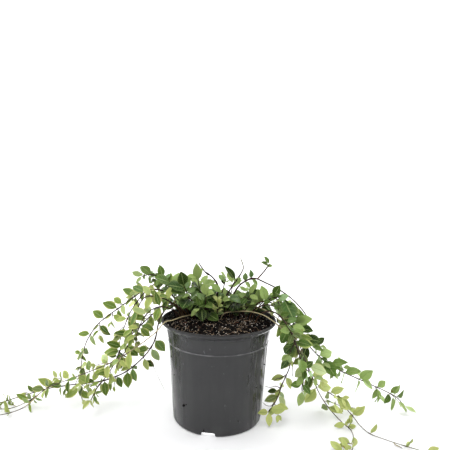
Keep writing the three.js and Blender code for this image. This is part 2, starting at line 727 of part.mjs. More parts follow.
// One leaf at a node, leaning along the stem, its upper face turned to the light
function leafAt(node, side, angle, draw, attempt) {
  const along = node.first.clone().multiplyScalar(side * Math.cos(angle))
    .addScaledVector(node.second, side * Math.sin(angle))
    .multiplyScalar(Math.cos(draw.lean))
    .addScaledVector(node.tangent, Math.sin(draw.lean));
  along.z -= draw.droop;
  along.normalize();
  const light = vector(...LIGHT);
  light.x += LIGHT_SPREAD * node.point.x;
  light.y += LIGHT_SPREAD * node.point.y;
  const normal = light.addScaledVector(along, -light.dot(along)).normalize();
  const across = normal.clone().cross(along);
  const length = draw.length * (1 - TRY_SHRINK * attempt);
  return { root: node.point.clone(), along, normal, across, length, curl: draw.curl };
}

// True where no other stem, and no leaf but the other one of its own pair, is in a leaf's way
function isClear(boxes, taken, owner, plant) {
  return boxes.every((box) => taken.every((other) => {
    const isOwn = other.owner === owner || (other.isStem && other.plant === plant);
    return isOwn || !boxesMeet(box, other);
  }));
}

// The first turn at which a leaf finds room, or nothing where there is none
function leafWithRoom(node, side, turn, draw, taken, owner, plant) {
  for (let attempt = 0; attempt < SPIN_TRIES.length; attempt += 1) {
    const leaf = leafAt(node, side, degrees(turn + SPIN_TRIES[attempt]), draw, attempt);
    const boxes = boxesOfLeaf(leaf);
    if (leafIsInTheOpen(leaf) && isClear(boxes, taken, owner, plant)) {
      boxes.forEach((box) => taken.push(Object.assign(box, { owner })));
      return leaf;
    }
  }
  return null;
}

// A stem's leaves: opposite pairs, smaller towards the tip
function leavesOf(stem, bare, route, lengths, taken) {
  const random = seededRandom(stem.seed);
  const plant = stem.twigOf ?? stem.name;
  const total = lengths[lengths.length - 1];
  const leaves = [];
  let distance = bare;
  let isLast = false;
  for (let pair = 0; distance < total && pair < stem.pairs && !isLast; pair += 1) {
    isLast = distance + LAST_PAIR_REACH > total;
    const share = distance / total;
    const node = nodeAt(route, lengths, Math.min(distance, total - TIP_INSET));
    const turn = stem.spin + (stem.turns ? QUARTER_TURN * pair : 0) + TURN_SPREAD * (random() - 0.5);
    const usual = stem.leaf * (1 - TIP_SHRINK * Math.max(0, share - 0.5));
    [1, -1].forEach((side) => {
      const isMissing = random() < MISSING_SHARE;
      const draw = {
        length: usual * (SHORTEST_LEAF + LEAF_SPREAD * random()),
        lean: degrees((isLast ? TIP_LEAN : LEAN) + LEAN_SPREAD * (random() - 0.5)),
        droop: DROOP * random(),
        curl: CURL + CURL_SPREAD * random(),
      };
      const leaf = isMissing ? null : leafWithRoom(node, side, turn, draw, taken, stem.name + pair, plant);
      if (leaf !== null) {
        leaves.push(leaf);
      }
    });
    if (!isLast) {
      const gap = stem.gap * (1 + stem.spread * share) * (SHORTEST_GAP + GAP_SPREAD * random());
      distance = distance + gap + LAST_GAP > total ? total - TIP_INSET : distance + gap;
    }
  }
  return leaves;
}

// Every stem's route starts ROOT_DEPTH below the soil's top; a twig's starts inside its stem
function growPlant() {
  const grown = STEMS.map((stem) => {
    const [x, y, z] = stem.points[0];
    const route = routeOf(stem.twigOf ? stem.points : [[x, y, z - ROOT_DEPTH], ...stem.points]);
    return { stem, route, lengths: lengthsOf(route), bare: stem.bare + (stem.twigOf ? 0 : ROOT_DEPTH) };
  });
  const taken = [];
  grown.forEach(({ stem, route }) => {
    boxesOfStem(route, stem.root).forEach((box) => {
      taken.push(Object.assign(box, { isStem: true, plant: stem.twigOf ?? stem.name }));
    });
  });
  grown.forEach((plant) => {
    plant.leaves = leavesOf(plant.stem, plant.bare, plant.route, plant.lengths, taken);
  });
  return grown;
}

// The hole in the soil that a stem stands in
function holeFor(stem, route) {
  const buried = route.slice(0, BURIED_STEPS);
  buried[0] = buried[0].clone().add(vector(0, 0, -HOLE_DEPTH));
  const radius = (stem.root + STEM_GAP) / Math.cos(Math.PI / HOLE_SIDES);
  return solidOf(tubeOf(buried, radius, radius, HOLE_SIDES));
}

const grown = growPlant();
let soil = soilBody();
const stemSolids = new Map();
grown.forEach(({ stem, route, leaves }) => {
  const stalk = solidOf(tubeOf(route, stem.root, stem.tip, STEM_SIDES));
  const blades = leaves.map((leaf) => solidOf(bladeGeometry(leaf)));
  const owner = stem.twigOf ?? stem.name;
  stemSolids.set(owner, [...(stemSolids.get(owner) ?? []), stalk, ...blades]);
  if (!stem.twigOf) {
    soil = soil.subtract(holeFor(stem, route));
  }
});

const plant = new THREE.Group();
plant.add(meshOf('pot', potShell(), POT_COLOUR));
plant.add(meshOf('soil', soil, SOIL_COLOUR));
stemSolids.forEach((parts, name) => {
  plant.add(meshOf(`stem_${name}`, wasm.Manifold.union(parts), STEM_COLOURS[name] ?? LEAF_COLOUR));
});

export default plant;
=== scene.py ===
"""Dresses the potted dark-leaved lesser periwinkle: its nursery pot, its soil and its leafy stems.

Metres and +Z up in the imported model. The stems are drawn in millimetres, as in the part's own source,
and turned into metres where a mesh is made. Every stem, the soil and the pot get a finer piece that
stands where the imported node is.
"""
import logging
import math
from collections.abc import Callable, Iterable, Sequence
from dataclasses import dataclass, field
from enum import Enum
from functools import reduce
from itertools import product

import bmesh
import bpy
import numpy as np
from mathutils import Matrix, Vector, noise


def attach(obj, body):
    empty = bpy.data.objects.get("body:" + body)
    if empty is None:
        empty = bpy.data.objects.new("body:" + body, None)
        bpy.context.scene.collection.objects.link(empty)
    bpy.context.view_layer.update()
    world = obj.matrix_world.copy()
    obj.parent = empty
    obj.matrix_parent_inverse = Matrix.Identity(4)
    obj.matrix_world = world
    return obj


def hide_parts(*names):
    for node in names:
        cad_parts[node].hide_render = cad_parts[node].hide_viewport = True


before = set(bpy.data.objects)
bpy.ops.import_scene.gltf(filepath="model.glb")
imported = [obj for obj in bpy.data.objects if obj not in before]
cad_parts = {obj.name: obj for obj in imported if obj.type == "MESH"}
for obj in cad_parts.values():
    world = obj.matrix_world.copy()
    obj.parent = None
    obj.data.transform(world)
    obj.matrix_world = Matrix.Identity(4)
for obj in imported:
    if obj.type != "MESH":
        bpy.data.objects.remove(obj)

LOG = logging.getLogger("periwinkle")
BODY = "root"
MM = 0.001
Colour = tuple[float, float, float]
Point = tuple[float, float, float]
Span = tuple[float, float]
Draw = tuple[float, float, float]
Socket = bpy.types.NodeSocket


class Foliage(Enum):
    """The greens that a stem's leaves may have."""

    FRESH = "fresh"
    BRIGHT = "bright"
    MIXED = "mixed"
    DARK = "dark"
    YOUNG = "young"


class Bark(Enum):
    """The skins that a stem may have."""

    GREEN = "green"
    RUNNER = "runner"
    DEAD = "dead"


# Driving dimensions of the pot, in millimetres
POT_HEIGHT = 148.0
RIM_RADIUS = 85.0
RIDGE_RADIUS = 75.0
RIDGE_HEIGHT = 117.0
BASE_RADIUS = 66.0
WALL = 1.8
FLOOR_THICKNESS = 2.2
COLLAR_RADIUS = 78.5
LIP_FOOT = 139.0
RIDGE_PROUD = 0.9
FOOT_ROUNDING = 3.5
LIP_ROUNDING = 1.0
LIP_BEVEL = 0.4
LIP_INSIDE = RIM_RADIUS - LIP_ROUNDING - WALL
HUB_RADIUS = 44.0
RECESS_HEIGHT = 6.0
RECESS_SLOPE = 2.0
FOOT_RING_WIDTH = 1.2
INNER_FOOT_HEIGHT = 11.0
INNER_FOOT_CHAMFER = 3.0

# Driving dimensions of the soil
SOIL_EDGE_HEIGHT = 137.0
SOIL_CROWN = 3.5
SOIL_LUMP = 1.1
SOIL_WALL_GAP = 0.7
SOIL_FLOOR_GAP = 0.35
SOIL_WAVES = ((0.5, 0.21, 0.17, 0.9), (0.5, 0.21, -0.17, 1.7), (0.6, 0.37, -0.29, 0.0))

# How a stem runs and how its leaves sit: angles in degrees, lengths as shares of the stem's usual leaf
STEM_STEP = 20.0
ROOT_DEPTH = 14.0
BLADE_THICKNESS = 0.7
BLADE_WIDTH_SHARE = 0.56
BLADE_FOLD = 0.2
STALK_SHARE = 0.13
TURN_SPREAD = 70.0
QUARTER_TURN = 90.0
LEAN = 24.0
TIP_LEAN = 50.0
LEAN_SPREAD = 20.0
DROOP = 0.28
CURL = 0.06
CURL_SPREAD = 0.1
SHORTEST_LEAF = 0.84
LEAF_SPREAD = 0.32
TIP_SHRINK = 0.7
TRY_SHRINK = 0.05
MISSING_SHARE = 0.08
SPIN_TRIES = (0, 22, -22, 45, -45, 70, -70, 95, -95)
LIGHT = (0.0, -0.8, 0.75)
LIGHT_SPREAD = 0.003
SHORTEST_GAP = 0.85
GAP_SPREAD = 0.3
LAST_PAIR_REACH = 7.0
LAST_GAP = 6.0
TIP_INSET = 0.5
NO_LEAVES = 999.0
BARE_TIP = 0.6

# Room kept round the leaves. A direction with more of Z in it than STEEP or NODE_STEEP counts as upright.
LEAF_CLEARANCE = 0.45
GROUND_CLEARANCE = 1.2
RIM_CLEARANCE = 1.5
LIP_CLEARANCE = 3.0
SIDE_CLEARANCE = 1.2
WALL_CLEARANCE = 2.2
SOIL_CLEARANCE = 2.0
BOX_SPLIT = 0.55
TIP_BOX_WIDTH = 0.85
STEEP = 0.9
NODE_STEEP = 0.94
UPRIGHT_ACROSS = (0.2, -1.0, 0.0)
TINY = 1e-8
BLADE_TESTS = (
    (0.35, 0.0), (0.6, 0.0), (0.8, 0.0), (1.0, 0.0), (0.37, 1.0), (0.37, -1.0), (0.68, 0.8), (0.68, -0.8),
)

# How far a leaf or stalk stays above the ground
GROUND_GAP = 0.2

# The side shoots: a pair of numbers is the least and how much more a draw can add
SHOOT_SEED = 5000
SHOOT_TRIES = 6
SHOOT_STEP = STEM_STEP / 4
SHOOT_RADIUS = 0.62
SHOOT_ROOT = 0.9
SHOOT_TIP = 0.7
SHOOT_LENGTHS = (0.35, 0.5)
SHOOT_SPACES = (0.62, 0.36)
SHOOT_LEAVES = (0.6, 0.2)
SHOOT_GAPS = (7.5, 3.0)
SHOOT_BARE = 3.5
SHOOT_ADVANCE = 0.8
SHOOT_MIDDLE = 0.55
SHOOT_SAG = 0.12
SHOOT_WIDTH_WAY = (1.0, 0.2, 0.1)

# The rows of short shoots low in the crown: a pair of numbers is the least and the greatest that can be drawn
LOW_SEED = 3
LOW_STEP = STEM_STEP / 2
LOW_ROWS = (38.0, 45.0, 52.0, 59.0, 66.0)
LOW_COLUMNS = 13
LOW_SPACING = 10.5
LOW_PLACES = (-4.0, 4.0)
LOW_FOOT = 139.0
LOW_HEIGHT = 24.0
LOW_HEIGHTS = (-9.0, 7.0)
LOW_RISE = 0.35
LOW_OUTWARD = 0.16
LOW_SWAYS_X = (-8.0, 8.0)
LOW_SWAYS_Y = (-10.0, 7.0)
LOW_MIDDLE_WAY = 0.35
LOW_MIDDLE_RISE = 0.6
LOW_LEAVES = (18.0, 28.0)
LOW_GAP = 9.0
LOW_ROOT = 0.95
LOW_TIP = 0.6
LOW_REACH = 68.0
LOW_TRIES = 14
LOW_LEAN = 36.0
LOW_CLEAR_HEIGHT = 142.0

# How far a feature leaf's tip may move to find room, and how finely its place on the stem is sought
FEATURE_DEPTHS = (0.0, -5.0, 5.0, -10.0, 10.0, -15.0, 15.0, -20.0)
FEATURE_LIFTS = (0.0, 3.5, -3.5)
FEATURE_ASIDES = (0.0, 3.5, -3.5)
FEATURE_ROOT_STEP = 1.0

# The two boxes of a leaf that may brush against others: where they start and end, and how wide they are
SLIM_SHARES = (0.4, 0.7, 1.0)
SLIM_WIDTH = 0.5


@dataclass(frozen=True)
class StemPlan:
    """A stem's route and habit.

    bare is the length without leaves, gap the space between leaf pairs, which grows or shrinks by spread,
    leaf the usual leaf's length, lean its angle to the stem and spin the angle of the first pair. root and
    tip are the stalk's radii, and stoutness makes the fine stalk thicker or thinner than they say. Where
    turns is set, each next pair is a quarter turn on. Where brushes is set, its leaves may brush against
    others. shoots is the share of the places that carry a side shoot. twig_of names the stem that carries
    a twig.
    """

    name: str
    seed: int
    points: tuple[Point, ...]
    leaf: float
    gap: float
    bare: float
    spin: float
    foliage: Foliage = Foliage.DARK
    bark: Bark = Bark.GREEN
    root: float = 1.1
    tip: float = 0.7
    stoutness: float = 1.0
    spread: float = 0.0
    turns: bool = False
    pairs: float = math.inf
    lean: float = LEAN
    brushes: bool = False
    twig_of: str | None = None
    shoots: float = 0.0

    @property
    def plant(self) -> str:
        """The name of the stem that carries it, or its own."""
        return self.twig_of or self.name

    @property
    def owner(self) -> str:
        """The name under which its stalk takes room."""
        return "stem " + self.plant


STEMS = (
    StemPlan("left_long", 11, (
        (-48, 28, 138), (-60, 20, 157), (-76, 11, 161), (-89, 4, 143), (-95, 2, 114), (-104, 2, 96),
        (-118, 4, 79), (-139, 8, 60), (-176, 16, 41), (-218, 22, 32), (-266, 26, 22), (-306, 22, 11),
        (-336, 13, 4), (-350, 9, 3),
    ), leaf=24, gap=36, spread=0.3, bare=112, spin=90, root=1.25, shoots=1.0, foliage=Foliage.FRESH),
    StemPlan("left_runner", 12, (
        (-14, 33, 138), (-20, 32, 146), (-36, 20, 147), (-56, -4, 149), (-66, -32, 152), (-75, -41, 152),
        (-86, -46, 140), (-109, -42, 120), (-147, -32, 92), (-195, -14, 65), (-237, -4, 45), (-256, 0, 36),
        (-286, 0, 14), (-312, -2, 3), (-340, -6, 3),
    ), leaf=23, gap=34, spread=0.2, bare=172, spin=75, root=1.25, stoutness=0.72, shoots=0.9,
        foliage=Foliage.FRESH, bark=Bark.RUNNER),
    StemPlan("left_runner_twig", 13, (
        (-270, 0, 25), (-288, -8, 9), (-306, -18, 4), (-322, -24, 3),
    ), twig_of="left_runner", leaf=16, gap=26, bare=18, spin=60, root=0.8, tip=0.6, foliage=Foliage.FRESH),
    StemPlan("left_arch", 14, (
        (-38, 30, 138), (-44, 31, 156), (-74, 32, 184), (-94, 35, 192), (-118, 38, 180), (-158, 42, 150),
        (-195, 46, 120), (-215, 46, 86), (-221, 45, 57), (-222, 42, 28), (-218, 34, 10), (-213, 25, 4),
    ), leaf=25, gap=31, bare=66, spin=90, root=1.15, shoots=0.95, foliage=Foliage.FRESH),
    StemPlan("left_upper", 15, (
        (-46, 36, 138), (-55, 30, 158), (-84, 18, 183), (-108, 12, 185), (-124, 12, 168), (-136, 14, 149),
        (-146, 16, 124), (-152, 16, 104),
    ), leaf=26, gap=26, bare=46, spin=70, shoots=0.7, foliage=Foliage.FRESH),
    StemPlan("left_mid", 16, (
        (-56, 28, 138), (-66, 25, 156), (-80, 21, 164), (-92, 17, 156), (-110, 10, 140), (-132, 3, 118),
        (-144, -5, 102), (-155, -15, 76), (-167, -21, 58), (-176, -25, 46), (-183, -28, 31),
    ), leaf=25, gap=30, bare=50, spin=100, root=1.15, shoots=0.6, foliage=Foliage.FRESH),
    StemPlan("left_thin", 17, (
        (-52, 20, 138), (-60, 14, 158), (-86, -2, 177), (-106, -10, 181), (-116, -14, 170),
        (-122, -16, 150), (-129, -18, 118), (-136, -18, 100), (-145, -20, 88),
    ), leaf=22, gap=28, bare=48, spin=60, root=0.95, tip=0.65, shoots=0.7, foliage=Foliage.FRESH),
    StemPlan("left_top", 18, (
        (-30, 32, 138), (-38, 31, 160), (-64, 29, 184), (-85, 28, 200), (-105, 28, 206), (-121, 28, 203),
    ), leaf=26, gap=17, bare=34, spin=80, shoots=1.0, foliage=Foliage.MIXED),
    StemPlan("right_long", 21, (
        (3, 24, 138), (8, 24, 148), (26, 21, 152), (46, 8, 156), (64, -12, 157), (77, -27, 153),
        (89, -32, 144), (102, -33, 130), (113, -33, 117), (126, -28, 96), (137, -20, 72), (153, -8, 37),
        (171, -6, 11), (183, -28, 4), (190, -44, 3), (189, -62, 3), (178, -94, 3), (170, -108, 3),
    ), leaf=29, gap=32, spread=0.7, bare=112, spin=80, root=1.25, stoutness=0.72, shoots=0.35,
        foliage=Foliage.BRIGHT, bark=Bark.RUNNER),
    StemPlan("right_runner", 22, (
        (16, 40, 138), (22, 38, 150), (45, 30, 159), (66, 14, 159), (85, -8, 152), (99, -15, 140),
        (110, -17, 130), (119, -16, 114), (131, -8, 86), (141, 0, 60), (156, 4, 43), (180, 4, 27),
        (197, 0, 10), (205, -12, 3), (207, -32, 3), (214, -54, 3), (230, -68, 3), (247, -80, 3),
        (262, -89, 3), (274, -97, 3),
    ), leaf=28, gap=30, spread=0.7, bare=104, spin=100, root=1.2, stoutness=0.72, shoots=0.35,
        foliage=Foliage.BRIGHT, bark=Bark.RUNNER),
    StemPlan("right_side", 23, (
        (42, 34, 138), (51, 31, 156), (70, 26, 168), (89, 22, 162), (107, 18, 147), (126, 18, 120),
        (146, 22, 94), (168, 27, 74), (198, 32, 55), (222, 34, 44), (245, 34, 34), (266, 30, 26),
        (282, 24, 19), (291, 16, 9),
    ), leaf=29, gap=29, bare=56, spin=90, root=1.15, shoots=0.9, foliage=Foliage.MIXED),
    StemPlan("right_inner", 24, (
        (46, 22, 138), (54, 17, 157), (74, 4, 168), (90, -4, 162), (101, -6, 145), (107, -4, 111),
        (107, -6, 76), (96, -14, 54), (87, -22, 34), (74, -36, 22),
    ), leaf=27, gap=29, bare=54, spin=70, shoots=0.6, foliage=Foliage.BRIGHT),
    StemPlan("right_front", 27, (
        (56, 12, 138), (64, 4, 154), (79, -16, 163), (93, -34, 155), (104, -48, 136), (113, -54, 112),
        (118, -57, 88), (118, -58, 64),
    ), leaf=29, gap=22, bare=60, spin=60, shoots=0.6, foliage=Foliage.MIXED),
    StemPlan("right_arch", 25, (
        (11, 44, 138), (17, 38, 160), (26, 32, 184), (37, 27, 197), (53, 24, 204), (71, 26, 197),
        (93, 28, 186), (113, 28, 172), (129, 26, 156), (140, 22, 140),
    ), leaf=14, gap=13, bare=70, pairs=2, spin=70, stoutness=1.35, foliage=Foliage.MIXED),
    StemPlan("right_arch_twig", 26, (
        (58, 24, 203), (68, 23, 215), (76, 23, 227),
    ), twig_of="right_arch", leaf=12, gap=14, bare=24, spin=40, root=0.75, tip=0.6, stoutness=1.6,
        foliage=Foliage.MIXED),
    StemPlan("crown_left", 31, (
        (-40, 24, 138), (-43, 22, 156), (-49, 19, 178), (-55, 16, 194),
    ), leaf=30, gap=16, spread=-0.3, bare=14, spin=0, turns=True, shoots=0.9),
    StemPlan("crown_tall", 32, (
        (-21, 42, 138), (-25, 38, 160), (-31, 32, 184), (-35, 28, 204),
    ), leaf=29, gap=22, spread=-0.3, bare=14, spin=35, turns=True),
    StemPlan("crown_centre", 33, (
        (-18, 22, 138), (-20, 17, 154), (-21, 12, 168), (-19, 8, 179),
    ), leaf=30, gap=17, spread=-0.3, bare=11, spin=80, turns=True, shoots=0.9),
    StemPlan("crown_right", 34, (
        (20, 36, 138), (25, 31, 156), (34, 25, 171), (46, 18, 180),
    ), leaf=30, gap=17, spread=-0.3, bare=11, spin=20, turns=True, shoots=0.9),
    StemPlan("crown_low_left", 50, (
        (-62, 12, 138), (-67, 8, 153), (-72, 4, 165),
    ), leaf=28, gap=15, bare=10, spin=30, turns=True, root=1, tip=0.65),
    StemPlan("crown_low_middle", 51, (
        (8, 32, 138), (13, 27, 153), (20, 21, 165),
    ), leaf=27, gap=14, bare=10, spin=0, turns=True, root=1, tip=0.65),
    StemPlan("crown_low_right", 52, (
        (33, 26, 138), (39, 23, 152), (48, 18, 165),
    ), leaf=28, gap=15, bare=10, spin=60, turns=True, root=1, tip=0.65),
    StemPlan("crown_fill_right", 53, (
        (36, 43, 138), (42, 41, 158), (50, 37, 180),
    ), leaf=30, gap=15, spread=-0.2, bare=12, spin=10, turns=True, shoots=0.9),
    StemPlan("crown_fill_left", 54, (
        (-26, 52, 138), (-28, 51, 158), (-32, 46, 180),
    ), leaf=30, gap=15, spread=-0.2, bare=12, spin=75, turns=True, shoots=0.9),
    StemPlan("crown_far_left", 55, (
        (-60, 34, 138), (-66, 35, 156), (-76, 36, 176),
    ), leaf=28, gap=17, bare=12, spin=20, turns=True),
    StemPlan("crown_far_right", 56, (
        (54, 36, 138), (62, 36, 156), (76, 34, 172),
    ), leaf=28, gap=17, bare=12, spin=50, turns=True, foliage=Foliage.MIXED),
    StemPlan("crown_spike", 35, (
        (1, 40, 138), (5, 38, 160), (21, 29, 192), (32, 24, 210), (36, 21, 222), (31, 20, 236),
    ), leaf=13, gap=8, bare=66, pairs=2, spin=60, turns=True, root=1, tip=0.5, stoutness=1.6),
    StemPlan("crown_narrow", 36, (
        (-2, 44, 138), (0, 42, 160), (6, 36, 186), (10, 30, 204),
    ), leaf=25, gap=22, bare=40, spin=10, turns=True, root=1, tip=0.6),
    StemPlan("crown_young", 37, (
        (-3, 20, 138), (-3, 19, 150), (-2, 18, 162), (-3, 17, 171),
    ), leaf=15, gap=10, bare=10, spin=45, turns=True, root=0.9, tip=0.6, foliage=Foliage.YOUNG),
    StemPlan("crown_edge", 38, (
        (52, 26, 138), (60, 22, 156), (79, 12, 176), (96, 3, 178), (104, -3, 168),
    ), leaf=28, gap=18, bare=22, spin=50, root=1, tip=0.65, shoots=0.9, foliage=Foliage.MIXED),
    StemPlan("left_front", 39, (
        (-56, 8, 138), (-62, 2, 153), (-77, -14, 166), (-92, -27, 168), (-106, -34, 156), (-114, -36, 136),
        (-117, -37, 118),
    ), leaf=25, gap=22, bare=30, spin=60, root=1, tip=0.65, shoots=0.4, foliage=Foliage.FRESH),
    StemPlan("bare_twig", 40, (
        (-10, 46, 138), (-6, 46, 162), (-2, 46, 184), (-12, 48, 200), (-24, 50, 208), (-34, 51, 222),
    ), leaf=10, gap=20, bare=NO_LEAVES, spin=0, root=1, tip=0.55, stoutness=1.7, bark=Bark.DEAD),
    StemPlan("back_left", 41, (
        (-34, 50, 138), (-40, 58, 156), (-50, 74, 168), (-60, 90, 160), (-68, 108, 132), (-72, 118, 98),
        (-76, 124, 66),
    ), leaf=27, gap=34, bare=48, spin=0),
    StemPlan("back_middle", 42, (
        (-8, 60, 138), (-8, 68, 156), (-6, 86, 166), (-2, 106, 152), (2, 120, 118), (6, 126, 80),
        (8, 128, 44),
    ), leaf=27, gap=36, bare=48, spin=15),
    StemPlan("back_right", 43, (
        (30, 48, 138), (36, 56, 156), (48, 74, 168), (58, 92, 156), (66, 106, 124), (72, 114, 92),
    ), leaf=27, gap=34, bare=48, spin=-15),
    StemPlan("back_crown", 44, (
        (14, 58, 138), (16, 60, 158), (20, 66, 176), (22, 72, 186),
    ), leaf=29, gap=19, spread=-0.2, bare=14, spin=50, turns=True),
    StemPlan("back_shoot", 45, (
        (-26, 60, 138), (-28, 64, 156), (-30, 70, 174), (-32, 76, 184),
    ), leaf=29, gap=19, spread=-0.2, bare=14, spin=5, turns=True),
)


@dataclass(frozen=True)
class FeatureLeaf:
    """A leaf that stands out, in the crown or at a side.

    It grows from the place on its stem nearest to its foot and reaches its tip. tone runs from 0, the
    stem's deepest green, to 1, its brightest.
    """

    stem: str
    foot: Point
    tip: Point
    breadth: float
    tone: float
    youth: float = 0.0
    # How much painted bluish sheen the leaf gets: a painted reflection of the white surroundings
    cool: float = 0.0
    fold: float = 1.0


FEATURES = (
    FeatureLeaf("crown_tall", (-33, 30, 197), (-36, 20, 226), 0.8, 1.0, youth=0.75),
    FeatureLeaf("crown_tall", (-31, 32, 187), (-7, 24, 200), 0.9, 0.75, youth=0.3),
    FeatureLeaf("crown_tall", (-30, 32, 181), (-40, 18, 200), 0.75, 0.1, fold=2.0),
    FeatureLeaf("crown_tall", (-26, 37, 166), (-42, 22, 154), 1.0, 0.1),
    FeatureLeaf("crown_tall", (-27, 36, 171), (-8, 22, 160), 1.05, 0.3, cool=0.5),
    FeatureLeaf("crown_left", (-54, 16, 191), (-58, 6, 215), 1.15, 0.25),
    FeatureLeaf("crown_left", (-53, 17, 188), (-76, 10, 199), 0.95, 0.35, cool=1.0),
    FeatureLeaf("crown_left", (-50, 18, 182), (-74, 8, 186), 1.1, 0.5),
    FeatureLeaf("crown_left", (-47, 20, 171), (-54, 0, 161), 1.1, 0.3, cool=0.9),
    FeatureLeaf("crown_left", (-45, 21, 164), (-28, 6, 168), 1.1, 0.4),
    FeatureLeaf("left_top", (-76, 28, 193), (-98, 18, 206), 1.0, 0.4),
    FeatureLeaf("left_upper", (-80, 20, 180), (-83, 2, 158), 1.15, 0.35, cool=0.8),
    FeatureLeaf("left_upper", (-98, 14, 185), (-95, 0, 163), 0.95, 0.95),
    FeatureLeaf("left_mid", (-94, 16, 155), (-89, 4, 133), 0.8, 0.7, cool=0.9, fold=2.2),
    FeatureLeaf("crown_spike", (26, 27, 199), (8, 20, 223), 0.62, 0.2, fold=2.6),
    FeatureLeaf("crown_narrow", (7, 35, 190), (4, 30, 203), 0.9, 0.0),
    FeatureLeaf("right_arch_twig", (76, 23, 225), (63, 16, 231), 0.85, 0.3, fold=1.6),
    FeatureLeaf("right_arch_twig", (76, 23, 227), (68, 20, 239), 0.85, 0.5, fold=1.6),
    FeatureLeaf("crown_far_right", (63, 36, 160), (60, 26, 187), 0.95, 1.0, youth=0.4),
    FeatureLeaf("crown_fill_right", (46, 39, 168), (30, 24, 178), 1.1, 0.9),
    FeatureLeaf("crown_fill_right", (45, 39, 167), (66, 24, 160), 1.1, 0.95),
    FeatureLeaf("crown_fill_right", (48, 38, 174), (62, 22, 188), 1.1, 0.3, cool=0.8),
    FeatureLeaf("crown_young", (-3, 18, 163), (-6, 10, 179), 0.75, 0.8, youth=0.6, fold=1.8),
    FeatureLeaf("crown_young", (-3, 18, 160), (3, 9, 175), 0.8, 0.9, youth=0.8, fold=1.6),
    FeatureLeaf("crown_young", (-3, 19, 152), (-17, 8, 168), 0.55, 0.8, youth=0.9, fold=2.2),
    FeatureLeaf("crown_young", (-3, 19, 150), (5, 10, 160), 0.55, 0.7, youth=1.0, fold=2.2),
    FeatureLeaf("crown_edge", (95, 3, 178), (80, -9, 164), 1.25, 0.1),
    FeatureLeaf("crown_edge", (97, 3, 178), (108, -14, 156), 1.1, 0.3, cool=0.9),
    FeatureLeaf("crown_edge", (82, 11, 177), (90, 0, 197), 1.0, 0.3),
    FeatureLeaf("right_side", (115, 18, 136), (139, -1, 150), 1.0, 1.0, youth=0.3),
    FeatureLeaf("right_side", (131, 18, 112), (155, 4, 114), 1.15, 0.12),
    FeatureLeaf("right_runner", (119, -16, 114), (106, -24, 99), 1.15, 0.0),
    FeatureLeaf("right_runner", (122, -14, 105), (126, -24, 76), 0.9, 0.15, cool=1.0, fold=1.8),
    FeatureLeaf("right_side", (165, 26, 77), (181, 14, 58), 1.2, 0.4),
    FeatureLeaf("right_long", (137, -20, 72), (129, -26, 50), 0.9, 0.0, fold=1.6),
    FeatureLeaf("right_inner", (76, -34, 24), (97, -42, 30), 1.0, 0.95),
    FeatureLeaf("right_runner", (180, 4, 27), (203, -10, 13), 0.95, 0.9),
    FeatureLeaf("left_thin", (-118, -15, 164), (-127, -22, 138), 0.5, 0.45, cool=0.9, fold=2.4),
    FeatureLeaf("left_thin", (-126, -17, 134), (-137, -24, 108), 0.5, 0.6, cool=0.6, fold=2.4),
    FeatureLeaf("left_mid", (-144, -5, 102), (-164, -14, 112), 0.95, 0.12),
    FeatureLeaf("left_mid", (-146, -7, 98), (-172, -12, 92), 0.85, 0.5),
    FeatureLeaf("left_mid", (-148, -8, 94), (-143, -22, 71), 1.0, 0.1),
    FeatureLeaf("left_mid", (-143, -4, 104), (-117, -18, 95), 0.9, 0.25),
    FeatureLeaf("left_mid", (-118, 8, 132), (-97, -4, 129), 1.0, 0.25),
    FeatureLeaf("left_long", (-96, 2, 112), (-79, -10, 99), 1.1, 0.3, cool=0.5),
    FeatureLeaf("left_arch", (-219, 36, 14), (-203, 20, 8), 0.95, 0.6),
    FeatureLeaf("left_arch", (-221, 38, 18), (-243, 30, 6), 0.9, 0.7),
    FeatureLeaf("left_long", (-176, 16, 41), (-170, 4, 22), 1.0, 0.2),
    FeatureLeaf("left_long", (-156, 12, 52), (-145, 0, 38), 0.9, 0.15, cool=0.6),
    FeatureLeaf("left_long", (-139, 8, 60), (-134, -6, 40), 1.0, 0.35),
    FeatureLeaf("left_long", (-196, 18, 38), (-187, 28, 55), 0.8, 0.7),
    FeatureLeaf("left_arch", (-221, 45, 50), (-208, 30, 62), 0.85, 0.75),
    FeatureLeaf("left_long", (-244, 24, 27), (-258, 8, 36), 0.8, 0.1),
    FeatureLeaf("left_long", (-256, 25, 24), (-279, 16, 42), 0.7, 0.8),
    FeatureLeaf("left_runner", (-286, 0, 14), (-305, -6, 25), 0.7, 0.4),
)


def bare_twig(stem: str, seed: int, points: tuple[Point, ...], stoutness: float = 0.8) -> StemPlan:
    """A thin twig without leaves.

    Args:
        stem: the stem that carries it.
        seed: its number, which its name ends in.
        points: the places that it passes through.
        stoutness: how thick it is beside a usual side shoot.

    Returns:
        Its plan.
    """
    return StemPlan(
        f"{stem}_bare{seed}", seed, points, leaf=10.0, gap=9.0, bare=NO_LEAVES, spin=0.0, root=SHOOT_RADIUS,
        tip=SHOOT_RADIUS * BARE_TIP, stoutness=stoutness, twig_of=stem,
    )


BARE_TWIGS = (
    bare_twig("right_inner", 1, ((93, -17, 49), (84, -26, 56), (76, -31, 56), (69, -32, 58))),
    bare_twig("right_inner", 2, ((98, -12, 58), (94, -22, 58), (88, -30, 51), (80, -36, 50))),
    bare_twig("right_inner", 3, ((84, -25, 32), (78, -34, 30), (70, -38, 33), (65, -40, 38))),
    bare_twig("right_inner", 4, ((102, -8, 66), (94, -12, 62), (86, -24, 66), (82, -28, 64))),
    bare_twig("right_runner", 5, ((122, -14, 106), (112, -24, 96), (108, -28, 84), (109, -28, 70))),
    bare_twig("left_runner", 6, ((-103, -43, 125), (-95, -43, 100), (-85, -42, 76), (-74, -43, 54)), 0.55),
)


